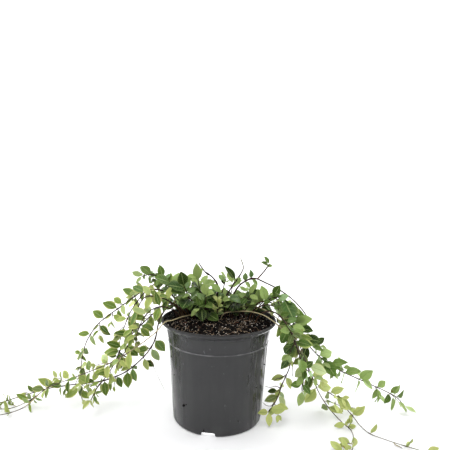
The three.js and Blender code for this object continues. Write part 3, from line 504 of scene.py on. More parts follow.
def low_shoot(random: np.random.Generator, name: str, x: float, y: float) -> StemPlan:
    """A short shoot low in the crown, drawn near a place.

    Args:
        random: where its draws come from.
        name: its name.
        x: the place, from the left to the right.
        y: the place, from the front to the back.

    Returns:
        Its plan.
    """
    x += random.uniform(*LOW_PLACES)
    y += random.uniform(*LOW_PLACES)
    height = LOW_HEIGHT + LOW_RISE * (y - LOW_ROWS[0]) + random.uniform(*LOW_HEIGHTS)
    lean_x = LOW_OUTWARD * x + random.uniform(*LOW_SWAYS_X)
    lean_y = random.uniform(*LOW_SWAYS_Y)
    points = (
        (x, y, LOW_FOOT),
        (x + LOW_MIDDLE_WAY * lean_x, y + LOW_MIDDLE_WAY * lean_y, LOW_FOOT + LOW_MIDDLE_RISE * height),
        (x + lean_x, y + lean_y, LOW_FOOT + height),
    )
    return StemPlan(
        name=name, seed=int(random.integers(1, 9999)), points=points, leaf=random.uniform(*LOW_LEAVES),
        gap=LOW_GAP, bare=LOW_GAP, spin=random.uniform(0.0, QUARTER_TURN), root=LOW_ROOT, tip=LOW_TIP,
        turns=True, lean=LOW_LEAN, brushes=True,
    )


def low_shoots() -> list[list[StemPlan]]:
    """Plans the short shoots of the crown, in rows behind the bare front of the soil.

    Returns:
        The plans that are tried, for each place.
    """
    random = np.random.default_rng(LOW_SEED)
    places = []
    for row, y in enumerate(LOW_ROWS):
        for column in range(LOW_COLUMNS):
            x = LOW_SPACING * (column - (LOW_COLUMNS - 1) / 2 + 0.5 * (row % 2))
            if math.hypot(x, y) < LOW_REACH:
                name = f"low_{row}_{column}"
                places.append([low_shoot(random, name, x, y) for _ in range(LOW_TRIES)])
    return places


def unit(vector: np.ndarray) -> np.ndarray:
    """The vector at length one."""
    return vector / math.sqrt(float(vector @ vector))


def wall_radius(height: float) -> float:
    """The wall's outer radius at a height: one taper up to the ridge, a wider one up to the lip.

    Args:
        height: the height.

    Returns:
        The radius.
    """
    low = RIDGE_RADIUS - RIDGE_PROUD
    if height < RIDGE_HEIGHT:
        return BASE_RADIUS + (low - BASE_RADIUS) * (height / RIDGE_HEIGHT)
    return low + (COLLAR_RADIUS - low) * ((height - RIDGE_HEIGHT) / (LIP_FOOT - RIDGE_HEIGHT))


def soil_top(x: float, y: float) -> float:
    """The height of the soil's lumpy crowned top.

    Args:
        x: the place, from the left to the right.
        y: the place, from the front to the back.

    Returns:
        The height.
    """
    edge = 1 - (x * x + y * y) / (COLLAR_RADIUS * COLLAR_RADIUS)
    lumps = sum(share * math.sin(u * x + v * y + start) for share, u, v, start in SOIL_WAVES)
    return SOIL_EDGE_HEIGHT + SOIL_CROWN * edge + SOIL_LUMP * lumps * min(1.0, 4 * edge)


class SeededRandom:
    """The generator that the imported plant's draws came from."""

    MASK: int = 0xFFFFFFFF
    STRIDE: int = 0x6D2B79F5

    def __init__(self, seed: int) -> None:
        """Starts at a seed."""
        self.state = seed & self.MASK

    def draw(self) -> float:
        """Draws the next number.

        Returns:
            The number, from 0 to 1.
        """
        self.state = (self.state + self.STRIDE) & self.MASK
        t = self.state
        t = ((t ^ (t >> 15)) * (t | 1)) & self.MASK
        t ^= (t + ((t ^ (t >> 7)) * (t | 61) & self.MASK)) & self.MASK
        return ((t ^ (t >> 14)) & self.MASK) / (self.MASK + 1)

    def spread(self, least: float, more: float) -> float:
        """Draws a number from the least up to as much more."""
        return least + more * self.draw()


class Route:
    """A smooth curve through a stem's points, in straight steps."""

    def __init__(self, points: Sequence[Sequence[float]], step: float) -> None:
        """Runs the curve.

        Args:
            points: the places that it passes through.
            step: about how long each straight step is.
        """
        places = [np.array(point, float) for point in points]
        self.places = [places[0]]
        last = len(places) - 1
        for i in range(last):
            a, b, c, d = (places[min(last, max(0, j))] for j in (i - 1, i, i + 1, i + 2))
            steps = max(1, math.floor(math.sqrt(float((c - b) @ (c - b))) / step + 0.5))
            for k in range(1, steps + 1):
                t = k / steps
                bend = (2 * a - 5 * b + 4 * c - d) * t * t
                twist = (3 * b - a - 3 * c + d) * t * t * t
                self.places.append(0.5 * (2 * b + (c - a) * t + bend + twist))
        self.lengths = [0.0]
        for i in range(1, len(self.places)):
            reach = self.places[i] - self.places[i - 1]
            self.lengths.append(self.lengths[-1] + math.sqrt(float(reach @ reach)))

    @property
    def total(self) -> float:
        """The route's length."""
        return self.lengths[-1]

    def at(self, distance: float) -> tuple[np.ndarray, np.ndarray]:
        """Finds a place on the route.

        Args:
            distance: how far from the start.

        Returns:
            The place and the direction there.
        """
        i = 1
        while i < len(self.places) - 1 and self.lengths[i] < distance:
            i += 1
        t = min(1.0, (distance - self.lengths[i - 1]) / (self.lengths[i] - self.lengths[i - 1]))
        tangent = unit(self.places[i] - self.places[i - 1])
        return self.places[i - 1] + (self.places[i] - self.places[i - 1]) * t, tangent


@dataclass
class Leaf:
    """One leaf's place and size. share is how far along its stem it grows."""

    root: np.ndarray
    along: np.ndarray
    normal: np.ndarray
    across: np.ndarray
    length: float
    curl: float
    share: float = 0.0
    is_last: bool = False
    feature: FeatureLeaf | None = None

    @property
    def half(self) -> float:
        """Half the blade's width."""
        return self.length * BLADE_WIDTH_SHARE / 2

    def point(self, x: float, y: float) -> np.ndarray:
        """Finds a place on the blade.

        Args:
            x: how far along the blade.
            y: how far across it.

        Returns:
            The place.
        """
        share = x / self.length
        z = BLADE_FOLD * abs(y) - self.curl * self.length * share * share
        return self.root + self.along * x + self.across * y + self.normal * z

    def is_in_the_open(self) -> bool:
        """True where the blade is clear of the pot, the soil and the ground."""
        return all(is_open(self.point(x * self.length, y * self.half)) for x, y in BLADE_TESTS)


def is_open(point: np.ndarray) -> bool:
    """Tells whether a point of a leaf is clear of the pot, the soil and the ground.

    Args:
        point: the point.

    Returns:
        True where it is clear.
    """
    x, y, z = (float(value) for value in point)
    if z < GROUND_CLEARANCE:
        return False
    if z > POT_HEIGHT + RIM_CLEARANCE:
        return True
    radius = math.hypot(x, y)
    if z > LIP_FOOT - LIP_CLEARANCE and radius > RIM_RADIUS + SIDE_CLEARANCE:
        return True
    if z <= LIP_FOOT - LIP_CLEARANCE and radius > wall_radius(z) + WALL_CLEARANCE:
        return True
    soil_height = SOIL_EDGE_HEIGHT + SOIL_CROWN + SOIL_LUMP
    return radius < COLLAR_RADIUS - WALL - LIP_CLEARANCE and z > soil_height + SOIL_CLEARANCE


@dataclass
class Room:
    """A turned box that holds part of a leaf or a length of stem."""

    centre: np.ndarray
    axes: np.ndarray
    halves: np.ndarray

    @property
    def reach(self) -> float:
        """How far its corners are from its centre."""
        return math.sqrt(float(self.halves @ self.halves))

    @classmethod
    def between(
        cls, start: np.ndarray, end: np.ndarray, across: np.ndarray, half_width: float, half_height: float
    ) -> "Room":
        """The box round a straight line.

        Args:
            start: where the line starts.
            end: where it ends.
            across: a direction that its width follows.
            half_width: half its width.
            half_height: half its height.

        Returns:
            The box.
        """
        along = end - start
        half = math.sqrt(float(along @ along)) / 2
        along = unit(along)
        side = unit(across - along * float(across @ along))
        axes = np.array([along, side, np.cross(along, side)])
        return cls((start + end) * 0.5, axes, np.array([half, half_width, half_height]))


def directions_round(tangent: np.ndarray) -> tuple[np.ndarray, np.ndarray]:
    """Finds two directions square to a stem.

    Args:
        tangent: the stem's direction.

    Returns:
        A level direction, or nearly so, and the one square to it.
    """
    level = np.array([0.0, 0.0, 1.0] if abs(tangent[2]) < NODE_STEEP else UPRIGHT_ACROSS)
    first = unit(np.cross(tangent, level))
    return first, np.cross(first, tangent)


class TakenRoom:
    """The boxes that stems and leaves already fill."""

    def __init__(self, size: int = 4096) -> None:
        """Starts empty.

        Args:
            size: how many boxes it can hold.
        """
        self.count = 0
        self.centres = np.zeros((size, 3))
        self.axes = np.zeros((size, 3, 3))
        self.halves = np.zeros((size, 3))
        self.reaches = np.zeros(size)
        self.owners = np.zeros(size, int)
        self.names: dict[str, int] = {}

    def number(self, owner: str) -> int:
        """The number that stands for an owner's name."""
        return self.names.setdefault(owner, len(self.names))

    def take(self, room: Room, owner: str) -> None:
        """Adds a box.

        Args:
            room: the box.
            owner: the name of what fills it.
        """
        i = self.count
        self.centres[i] = room.centre
        self.axes[i] = room.axes
        self.halves[i] = room.halves
        self.reaches[i] = room.reach
        self.owners[i] = self.number(owner)
        self.count += 1

    def is_clear(self, room: Room, owners: Iterable[str]) -> bool:
        """Tells whether a box is clear of the taken ones.

        Args:
            room: the box.
            owners: the names of those that it may meet.

        Returns:
            True where it meets no other.
        """
        n = self.count
        offsets = self.centres[:n] - room.centre
        near = np.sqrt((offsets * offsets).sum(1)) <= self.reaches[:n] + room.reach
        for owner in owners:
            near &= self.owners[:n] != self.number(owner)
        chosen = np.nonzero(near)[0]
        if len(chosen) == 0:
            return True
        offset = offsets[chosen]
        axes = self.axes[chosen]
        own = np.broadcast_to(room.axes, axes.shape)
        crossed = np.cross(own[:, :, None, :], axes[:, None, :, :]).reshape(len(chosen), 9, 3)
        tests = np.concatenate([own, axes, crossed], axis=1)
        spread = np.abs(np.einsum("kti,ji->ktj", tests, room.axes)) @ room.halves
        spread += np.einsum("ktj,kj->kt", np.abs(np.einsum("kti,kji->ktj", tests, axes)), self.halves[chosen])
        apart = np.abs(np.einsum("kti,ki->kt", tests, offset)) > spread
        apart &= (tests * tests).sum(2) >= TINY
        return bool(apart.any(axis=1).all())


@dataclass
class GrownStem:
    """A stem's plan with its route and leaves."""

    plan: StemPlan
    route: Route
    bare: float
    leaves: list[Leaf] = field(default_factory=list)


class Growth:
    """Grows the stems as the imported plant's were grown, so that each leaf stands where its solid is."""

    def __init__(self, plans: Sequence[StemPlan]) -> None:
        """Runs every stem's route and takes its room, before any leaf grows.

        Args:
            plans: the stems' plans.
        """
        self.taken = TakenRoom()
        self.stems: list[GrownStem] = []
        for plan in plans:
            x, y, z = plan.points[0]
            points = plan.points if plan.twig_of else ((x, y, z - ROOT_DEPTH), *plan.points)
            bare = plan.bare + (0 if plan.twig_of else ROOT_DEPTH)
            self.stems.append(GrownStem(plan, Route(points, STEM_STEP), bare))
        for stem in self.stems:
            self.take_stem(stem)

    def take_stem(self, stem: GrownStem) -> None:
        """Takes the room of a stem's route.

        Args:
            stem: the stem.
        """
        places = stem.route.places
        half = stem.plan.root + LEAF_CLEARANCE
        for start, end in zip(places, places[1:]):
            along = end - start
            is_steep = abs(along[2]) >= STEEP * math.sqrt(float(along @ along))
            across = np.array([1.0, 0.0, 0.0] if is_steep else [0.0, 0.0, 1.0])
            self.taken.take(Room.between(start, end, across, half, half), stem.plan.owner)

    def grow(self) -> list[GrownStem]:
        """Gives every stem its leaves, in order.

        Returns:
            The stems.
        """
        for stem in self.stems:
            self.grow_leaves(stem)
        return self.stems

    def grow_bare_twigs(self, plans: Sequence[StemPlan]) -> list[GrownStem]:
        """Adds the twigs without leaves.

        Args:
            plans: their plans.

        Returns:
            The twigs.
        """
        twigs = [GrownStem(plan, Route(plan.points, SHOOT_STEP), plan.bare) for plan in plans]
        for twig in twigs:
            self.take_stem(twig)
        return twigs

    def grow_features(self, features: Sequence[FeatureLeaf]) -> None:
        """Adds the leaves that stand out, where they find room.

        Args:
            features: the leaves.
        """
        stems = {stem.plan.name: stem for stem in self.stems}
        for i, feature in enumerate(features):
            stem = stems[feature.stem]
            for aside, lift, depth in product(FEATURE_ASIDES, FEATURE_LIFTS, FEATURE_DEPTHS):
                leaf = self.feature_leaf(stem, feature, np.array([aside, depth, lift]))
                rooms = self.slim_rooms_of(leaf)
                if all(self.taken.is_clear(room, (stem.plan.owner,)) for room in rooms):
                    for room in self.rooms_of(leaf):
                        self.taken.take(room, f"feature {i}")
                    stem.leaves.append(leaf)
                    break
            else:
                LOG.info("no room for leaf %d on %s", i, feature.stem)

    def feature_leaf(self, stem: GrownStem, feature: FeatureLeaf, shift: np.ndarray) -> Leaf:
        """Makes the leaf of a feature.

        Args:
            stem: the stem that carries it.
            feature: where it grows and how it looks.
            shift: how far its tip moves.

        Returns:
            The leaf.
        """
        steps = np.arange(0.0, stem.route.total, FEATURE_ROOT_STEP)
        places = np.array([stem.route.at(step)[0] for step in steps])
        nearest = int(np.argmin(((places - np.array(feature.foot)) ** 2).sum(1)))
        reach = np.array(feature.tip, float) + shift - places[nearest]
        along = unit(reach)
        light = np.array(LIGHT)
        normal = unit(light - along * float(light @ along))
        length = math.sqrt(float(reach @ reach))
        leaf = Leaf(places[nearest], along, normal, np.cross(normal, along), length, CURL, feature=feature)
        leaf.share = steps[nearest] / stem.route.total
        return leaf

    def grow_low_shoots(self, places: Sequence[Sequence[StemPlan]]) -> list[GrownStem]:
        """Grows the low shoots that fill the crown: at each place, the first plan that finds room.

        Args:
            places: the plans that are tried, for each place.

        Returns:
            The shoots.
        """
        shoots = []
        for plans in places:
            for plan in plans:
                x, y, z = plan.points[0]
                route = Route(((x, y, z - ROOT_DEPTH), *plan.points), LOW_STEP)
                if self.route_is_clear(route, plan, LOW_CLEAR_HEIGHT):
                    shoot = GrownStem(plan, route, plan.bare + ROOT_DEPTH)
                    self.take_stem(shoot)
                    self.grow_leaves(shoot)
                    shoots.append(shoot)
                    break
        return shoots

    def grow_side_shoots(self, stem: GrownStem) -> list[GrownStem]:
        """Grows short leafy shoots from between a stem's pairs of leaves, where they find room.

        Args:
            stem: the stem.

        Returns:
            The shoots.
        """
        plan = stem.plan
        random = SeededRandom(plan.seed + SHOOT_SEED)
        shoots: list[GrownStem] = []
        distance = stem.bare + plan.gap * 0.5
        while distance < stem.route.total - LAST_PAIR_REACH:
            if random.draw() < plan.shoots:
                length = plan.leaf * random.spread(*SHOOT_LENGTHS)
                angle = 2 * math.pi * random.draw()
                for turn in range(SHOOT_TRIES):
                    twist = angle + turn * 2 * math.pi / SHOOT_TRIES
                    route = self.shoot_route(stem, distance, twist, length)
                    if self.route_is_clear(route, plan):
                        shoots.append(self.shoot_on(stem, f"{plan.name}_shoot{len(shoots)}", route, random))
                        break
            distance += plan.gap * random.spread(*SHOOT_SPACES)
        return shoots

    def shoot_route(self, stem: GrownStem, distance: float, angle: float, length: float) -> Route:
        """Runs a side shoot that leaves its stem at an angle and droops a little.

        Args:
            stem: the stem.
            distance: how far along the stem it starts.
            angle: the angle round the stem, in radians.
            length: how long it is.

        Returns:
            The route.
        """
        point, tangent = stem.route.at(distance)
        first, second = directions_round(tangent)
        way = unit((first * math.cos(angle) + second * math.sin(angle)) + SHOOT_ADVANCE * tangent)
        middle = point + way * (SHOOT_MIDDLE * length)
        end = point + way * length - np.array([0.0, 0.0, SHOOT_SAG * length])
        return Route((point, middle, end), SHOOT_STEP)

    def route_is_clear(self, route: Route, plan: StemPlan, rooted_below: float = 0.0) -> bool:
        """True where a shoot's stalk meets nothing but its own stem.

        Args:
            route: the stalk's route.
            plan: the plan of the stem that carries it, or its own.
            rooted_below: the height above which it is tested, for a stalk that grows from the soil.

        Returns:
            True where it is clear.
        """
        for start, end in zip(route.places[1:], route.places[2:]):
            if start[2] < rooted_below:
                continue
            room = Room.between(start, end, np.array(SHOOT_WIDTH_WAY), SHOOT_RADIUS, SHOOT_RADIUS)
            if not self.taken.is_clear(room, (plan.owner,)) or (rooted_below == 0.0 and not is_open(end)):
                return False
        return True

    def shoot_on(self, stem: GrownStem, name: str, route: Route, random: SeededRandom) -> GrownStem:
        """Grows a side shoot with its leaves.

        Args:
            stem: the stem that carries it.
            name: its name.
            route: its stalk's route.
            random: where its draws come from.

        Returns:
            The shoot.
        """
        plan = stem.plan
        shoot_plan = StemPlan(
            name, int(1e6 * random.draw()), (), leaf=plan.leaf * random.spread(*SHOOT_LEAVES),
            gap=random.spread(*SHOOT_GAPS), bare=SHOOT_BARE, spin=360 * random.draw(), foliage=plan.foliage,
            bark=plan.bark, root=SHOOT_RADIUS * SHOOT_ROOT, tip=SHOOT_RADIUS * SHOOT_TIP, turns=True,
            brushes=True, twig_of=plan.plant,
        )
        shoot = GrownStem(shoot_plan, route, shoot_plan.bare)
        self.take_stem(shoot)
        self.grow_leaves(shoot)
        return shoot

    def grow_leaves(self, stem: GrownStem) -> None:
        """Gives one stem its leaves: opposite pairs, smaller towards the tip.

        Args:
            stem: the stem.
        """
        plan = stem.plan
        random = SeededRandom(plan.seed)
        total = stem.route.total
        distance = stem.bare
        pair = 0
        is_last = False
        while distance < total and pair < plan.pairs and not is_last:
            is_last = distance + LAST_PAIR_REACH > total
            share = distance / total
            point, tangent = stem.route.at(min(distance, total - TIP_INSET))
            turn = plan.spin + (QUARTER_TURN * pair if plan.turns else 0)
            turn += TURN_SPREAD * (random.draw() - 0.5)
            usual = plan.leaf * (1 - TIP_SHRINK * max(0.0, share - 0.5))
            for side in (1, -1):
                is_missing = random.draw() < MISSING_SHARE
                length = usual * random.spread(SHORTEST_LEAF, LEAF_SPREAD)
                lean = (TIP_LEAN if is_last else plan.lean) + LEAN_SPREAD * (random.draw() - 0.5)
                droop = DROOP * random.draw()
                curl = random.spread(CURL, CURL_SPREAD)
                if is_missing:
                    continue
                leaf = self.leaf_with_room(
                    stem, (point, tangent), side, turn, (length, math.radians(lean), droop, curl),
                    f"{plan.name}{pair}",
                )
                if leaf is not None:
                    leaf.share = share
                    leaf.is_last = is_last
                    stem.leaves.append(leaf)
            if not is_last:
                gap = plan.gap * (1 + plan.spread * share) * random.spread(SHORTEST_GAP, GAP_SPREAD)
                is_end = distance + gap + LAST_GAP > total
                distance = total - TIP_INSET if is_end else distance + gap
            pair += 1

    def leaf_with_room(
        self,
        stem: GrownStem,
        node: tuple[np.ndarray, np.ndarray],
        side: int,
        turn: float,
        draw: tuple[float, float, float, float],
        owner: str,
    ) -> Leaf | None:
        """The leaf at the first turn where it finds room.

        Args:
            stem: the stem that it grows on.
            node: the place on the stem and the stem's direction there.
            side: 1 or -1, the side of the stem.
            turn: the angle round the stem.
            draw: the leaf's length, lean, droop and curl.
            owner: the name of its pair.

        Returns:
            The leaf, or None where there is no room.
        """
        for attempt, spin in enumerate(SPIN_TRIES):
            leaf = self.leaf_at(node, side, math.radians(turn + spin), draw, attempt)
            rooms = self.slim_rooms_of(leaf) if stem.plan.brushes else self.rooms_of(leaf)
            owners = (owner, stem.plan.owner)
            if leaf.is_in_the_open() and all(self.taken.is_clear(room, owners) for room in rooms):
                for room in rooms:
                    self.taken.take(room, owner)
                return leaf
        return None

    def leaf_at(
        self,
        node: tuple[np.ndarray, np.ndarray],
        side: int,
        angle: float,
        draw: tuple[float, float, float, float],
        attempt: int,
    ) -> Leaf:
        """A leaf that leans along the stem, its upper face turned to the light.

        Args:
            node: the place on the stem and the stem's direction there.
            side: 1 or -1, the side of the stem.
            angle: the angle round the stem, in radians.
            draw: the leaf's length, lean, droop and curl.
            attempt: how many turns were tried before.

        Returns:
            The leaf.
        """
        point, tangent = node
        length, lean, droop, curl = draw
        first, second = directions_round(tangent)
        along = (first * (side * math.cos(angle)) + second * (side * math.sin(angle))) * math.cos(lean)
        along = along + tangent * math.sin(lean)
        along[2] -= droop
        along = unit(along)
        light = np.array(LIGHT) + LIGHT_SPREAD * np.array([point[0], point[1], 0.0])
        normal = unit(light - along * float(light @ along))
        return Leaf(point, along, normal, np.cross(normal, along), length * (1 - TRY_SHRINK * attempt), curl)

    def slim_rooms_of(self, leaf: Leaf) -> list[Room]:
        """Sets two boxes round the middle of a leaf's blade alone.

        Args:
            leaf: the leaf.

        Returns:
            The boxes.
        """
        ends = [leaf.root + leaf.along * (share * leaf.length) for share in SLIM_SHARES]
        halves = (leaf.half * SLIM_WIDTH, BLADE_THICKNESS / 2)
        return [Room.between(start, end, leaf.across, *halves) for start, end in zip(ends, ends[1:])]

    def rooms_of(self, leaf: Leaf) -> list[Room]:
        """Sets two boxes round a leaf.

        Args:
            leaf: the leaf.

        Returns:
            The boxes.
        """
        lift = BLADE_FOLD * leaf.half / 2
        height = lift + BLADE_THICKNESS / 2 + LEAF_CLEARANCE
        ends = [
            leaf.root + leaf.along * (share * leaf.length)
            + leaf.normal * (lift - leaf.curl * leaf.length * share * share)
            for share in (STALK_SHARE, BOX_SPLIT, 1.0)
        ]
        halves = [leaf.half * share + LEAF_CLEARANCE for share in (1.0, TIP_BOX_WIDTH)]
        return [
            Room.between(start, end, leaf.across, half, height)
            for start, end, half in zip(ends, ends[1:], halves)
        ]


class Graph:
    """A material's nodes, with short calls for those that the finishes share."""

    def __init__(self, name: str) -> None:
        """Starts a material with a Principled shader alone.

        Args:
            name: its name.
        """
        self.material = bpy.data.materials.new(name)
        self.material.use_nodes = True
        self.tree = self.material.node_tree
        self.shader = self.tree.nodes["Principled BSDF"]

    def add(self, kind: str, **settings: object) -> bpy.types.Node:
        """Adds a node.

        Args:
            kind: its type.
            settings: its plain settings, by name.

        Returns:
            The node.
        """
        node = self.tree.nodes.new(kind)
        for name, value in settings.items():
            setattr(node, name, value)
        return node

    def put(self, socket: Socket, value: object) -> None:
        """Links a socket, or sets it to a plain value.

        Args:
            socket: the socket that is filled.
            value: another node's socket, a number, a place or a colour.
        """
        if isinstance(value, Socket):
            self.tree.links.new(value, socket)
        elif socket.type == "RGBA":
            socket.default_value = (*value, 1.0)
        else:
            socket.default_value = value

    def attribute(self, name: str) -> Socket:
        """A number that the piece's own points carry."""
        return self.add("ShaderNodeAttribute", attribute_name=name).outputs["Fac"]

    def place(self) -> Socket:
        """The place on the piece, in metres."""
        return self.add("ShaderNodeTexCoord").outputs["Object"]

    def coordinate(self, axis: str) -> Socket:
        """The place on the piece along one axis, in metres.

        Args:
            axis: X, Y or Z.

        Returns:
            The number's socket.
        """
        node = self.add("ShaderNodeSeparateXYZ")
        self.put(node.inputs["Vector"], self.place())
        return node.outputs[axis]

    def noise(self, scale: float, detail: float = 3.0, stretch: Point = (1.0, 1.0, 1.0)) -> Socket:
        """A soft random pattern from 0 to 1.

        Args:
            scale: how fine it is: its spots to a metre.
            detail: how many finer patterns are in it.
            stretch: how much finer it is along each axis.

        Returns:
            The pattern's socket.
        """
        mapping = self.add("ShaderNodeMapping")
        self.put(mapping.inputs["Vector"], self.place())
        self.put(mapping.inputs["Scale"], stretch)
        node = self.add("ShaderNodeTexNoise")
        for name, value in (("Vector", mapping.outputs["Vector"]), ("Scale", scale), ("Detail", detail)):
            self.put(node.inputs[name], value)
        return node.outputs["Fac"]

    def drift(self, scale: float, detail: float, strength: float) -> Socket:
        """A soft random pattern round nought, as wide as its strength."""
        return self.times(self.minus(self.noise(scale, detail), 0.5), strength)

    def math(self, operation: str, a: object, b: object = 0.0) -> Socket:
        """An operation on one or two numbers.

        Args:
            operation: which one.
            a: the first number.
            b: the second number, where the operation has one.

        Returns:
            The result's socket.
        """
        node = self.add("ShaderNodeMath", operation=operation)
        self.put(node.inputs[0], a)
        self.put(node.inputs[1], b)
        return node.outputs[0]

    def plus(self, a: object, b: object) -> Socket:
        """The sum of two numbers."""
        return self.math("ADD", a, b)

    def minus(self, a: object, b: object) -> Socket:
        """The difference between two numbers."""
        return self.math("SUBTRACT", a, b)

    def times(self, *factors: object) -> Socket:
        """The product of two numbers or more."""
        return reduce(lambda a, b: self.math("MULTIPLY", a, b), factors)

    def between(self, value: object, low: float, high: float, start: float = 0.0, end: float = 1.0) -> Socket:
        """A smooth step.

        Args:
            value: the number that is read.
            low: where the step starts.
            high: where it ends.
            start: what it gives below.
            end: what it gives above.

        Returns:
            The step's socket.
        """
        node = self.add("ShaderNodeMapRange", interpolation_type="SMOOTHSTEP")
        names = ("Value", "From Min", "From Max", "To Min", "To Max")
        for name, number in zip(names, (value, low, high, start, end)):
            self.put(node.inputs[name], number)
        return node.outputs["Result"]

    def ramp(self, value: object, stops: Sequence[tuple[float, Colour]]) -> Socket:
        """A run of colours.

        Args:
            value: the number that picks the colour.
            stops: the numbers at which a colour is reached, and those colours.

        Returns:
            The colour's socket.
        """
        node = self.add("ShaderNodeValToRGB")
        self.put(node.inputs["Fac"], value)
        elements = node.color_ramp.elements
        while len(elements) < len(stops):
            elements.new(0.5)
        for element, (position, colour) in zip(elements, stops):
            element.position = position
            element.color = (*colour, 1.0)
        return node.outputs["Color"]

    def mix(self, factor: object, a: object, b: object, way: str = "MIX") -> Socket:
        """Two colours mixed, or joined in another way.

        Args:
            factor: how much of the second colour shows.
            a: the first colour.
            b: the second colour.
            way: how they are joined.

        Returns:
            The colour's socket.
        """
        node = self.add("ShaderNodeMix", data_type="RGBA", blend_type=way)
        for i, value in zip((0, 6, 7), (factor, a, b)):
            self.put(node.inputs[i], value)
        return node.outputs[2]

    def bump(self, height: object, distance: float, strength: float) -> None:
        """Gives the shader a relief.

        Args:
            height: its pattern.
            distance: how deep it is, in metres.
            strength: how much of it shows.
        """
        node = self.add("ShaderNodeBump")
        for name, value in (("Strength", strength), ("Distance", distance), ("Height", height)):
            self.put(node.inputs[name], value)
        self.put(self.shader.inputs["Normal"], node.outputs["Normal"])

    def finish(self, colour: object, roughness: object, specular: float = 0.5) -> bpy.types.Material:
        """Sets the shader's own sockets.

        Args:
            colour: the base colour.
            roughness: how dull it is.
            specular: how strong its gloss is.

        Returns:
            The material.
        """
        self.put(self.shader.inputs["Base Color"], colour)
        self.put(self.shader.inputs["Roughness"], roughness)
        self.shader.inputs["Specular IOR Level"].default_value = specular
        return self.material


@dataclass(frozen=True)
class LeafGreen:
    """A leaf's skin: greens that differ from leaf to leaf, a painted bluish sheen on some, a pale midrib,
    side veins and a paler margin.

    A field of type Span holds where a pattern starts to show and where it shows in full. Scales are spots
    to a metre.
    """

    name: str
    deep: Colour
    usual: Colour
    bright: Colour
    young: Colour
    margin: Colour
    margin_share: float = 0.25
    roughness: float = 0.46
    specular: float = 0.17
    # The bluish tint of the painted sheen
    cooled: Colour = (0.98, 1.06, 1.9)
    vein: Colour = (0.34, 0.43, 0.16)
    under: Colour = (0.17, 0.24, 0.09)
    spoilt: Colour = (0.2, 0.12, 0.04)
    mottle_scale: float = 90.0
    mottling: float = 0.5
    margin_step: Span = (0.55, 1.0)
    vein_pairs: float = 7.0
    vein_slope: float = 1.7
    vein_step: Span = (0.8, 1.0)
    vein_reach: Span = (0.96, 0.7)
    vein_strength: float = 0.22
    rib_step: Span = (0.11, 0.03)
    rib_strength: float = 0.6
    blotch_scale: float = 160.0
    blotch_step: Span = (0.64, 0.7)
    spoil_step: Span = (0.9, 0.97)
    under_strength: float = 0.75
    under_dullness: float = 0.2
    grain_scale: float = 700.0
    grain_height: float = 0.25
    relief_depth: float = 0.0003
    relief_strength: float = 0.6
    sheen_scale: float = 220.0
    sheen_step: Span = (0.3, 0.7)
    sheen_spread: Span = (-0.07, 0.1)

    def material(self) -> bpy.types.Material:
        """Makes the material.

        Returns:
            The material.
        """
        graph = Graph(self.name)
        across = graph.math("ABSOLUTE", graph.attribute("across"))
        shade = graph.plus(graph.attribute("tone"), graph.drift(self.mottle_scale, 4.0, self.mottling))
        colour = graph.ramp(shade, ((0.0, self.deep), (0.5, self.usual), (1.0, self.bright)))
        # Painted reflection: some leaves are tinted bluish-grey, as a sheen of the white surroundings
        colour = graph.mix(graph.attribute("cool"), colour, graph.mix(1.0, colour, self.cooled, "MULTIPLY"))
        colour = graph.mix(graph.attribute("youth"), colour, self.young)
        edge = graph.between(across, *self.margin_step)
        colour = graph.mix(graph.times(edge, self.margin_share), colour, self.margin)
        run = graph.minus(
            graph.times(graph.attribute("share"), self.vein_pairs), graph.times(across, self.vein_slope)
        )
        wave = graph.math("SINE", graph.times(run, 2 * math.pi))
        side_vein = graph.times(graph.between(wave, *self.vein_step), graph.between(across, *self.vein_reach))
        rib = graph.between(across, *self.rib_step)
        colour = graph.mix(graph.times(side_vein, self.vein_strength), colour, self.vein)
        colour = graph.mix(graph.times(rib, self.rib_strength), colour, self.vein)
        blotch = graph.between(graph.noise(self.blotch_scale, 2.0), *self.blotch_step)
        spoiling = graph.times(blotch, graph.between(graph.attribute("spoil"), *self.spoil_step))
        colour = graph.mix(spoiling, colour, self.spoilt)
        under = graph.attribute("under")
        colour = graph.mix(graph.times(under, self.under_strength), colour, self.under)
        relief = graph.minus(graph.times(graph.noise(self.grain_scale), self.grain_height), side_vein)
        graph.bump(graph.minus(relief, rib), self.relief_depth, self.relief_strength)
        low, high = (self.roughness + spread for spread in self.sheen_spread)
        rough = graph.between(graph.noise(self.sheen_scale), *self.sheen_step, low, high)
        return graph.finish(colour, graph.plus(rough, graph.times(under, self.under_dullness)), self.specular)


@dataclass(frozen=True)
class StalkSkin:
    """A stalk's skin: one colour at its root, another along it and another at its tip, with knots."""

    name: str
    root: Colour
    middle: Colour
    tip: Colour
    root_hold: float = 0.04
    root_end: float = 0.3
    tip_start: float = 0.82
    darkening: Colour = (0.5, 0.45, 0.42)
    drift_scale: float = 60.0
    drift: float = 0.3
    grain_scale: float = 900.0
    grain_step: Span = (0.4, 0.7)
    grain_strength: float = 0.5
    knot_strength: float = 0.7
    relief_scale: float = 1400.0
    relief_depth: float = 0.0002
    relief_strength: float = 0.5
    dullness: Span = (0.45, 0.65)
    specular: float = 0.2

    def material(self) -> bpy.types.Material:
        """Makes the material.

        Returns:
            The material.
        """
        graph = Graph(self.name)
        place = graph.plus(graph.attribute("share"), graph.drift(self.drift_scale, 3.0, self.drift))
        ends = (self.root_hold, self.root_end, self.tip_start, 1.0)
        colour = graph.ramp(place, tuple(zip(ends, (self.root, self.middle, self.middle, self.tip))))
        grain = graph.between(graph.noise(self.grain_scale), *self.grain_step)
        knots = graph.times(graph.attribute("knot"), self.knot_strength)
        dark = graph.math("MAXIMUM", graph.times(grain, self.grain_strength), knots)
        colour = graph.mix(dark, colour, graph.mix(1.0, colour, self.darkening, "MULTIPLY"))
        graph.bump(graph.noise(self.relief_scale), self.relief_depth, self.relief_strength)
        return graph.finish(colour, graph.between(grain, 0.0, 1.0, *self.dullness), self.specular)


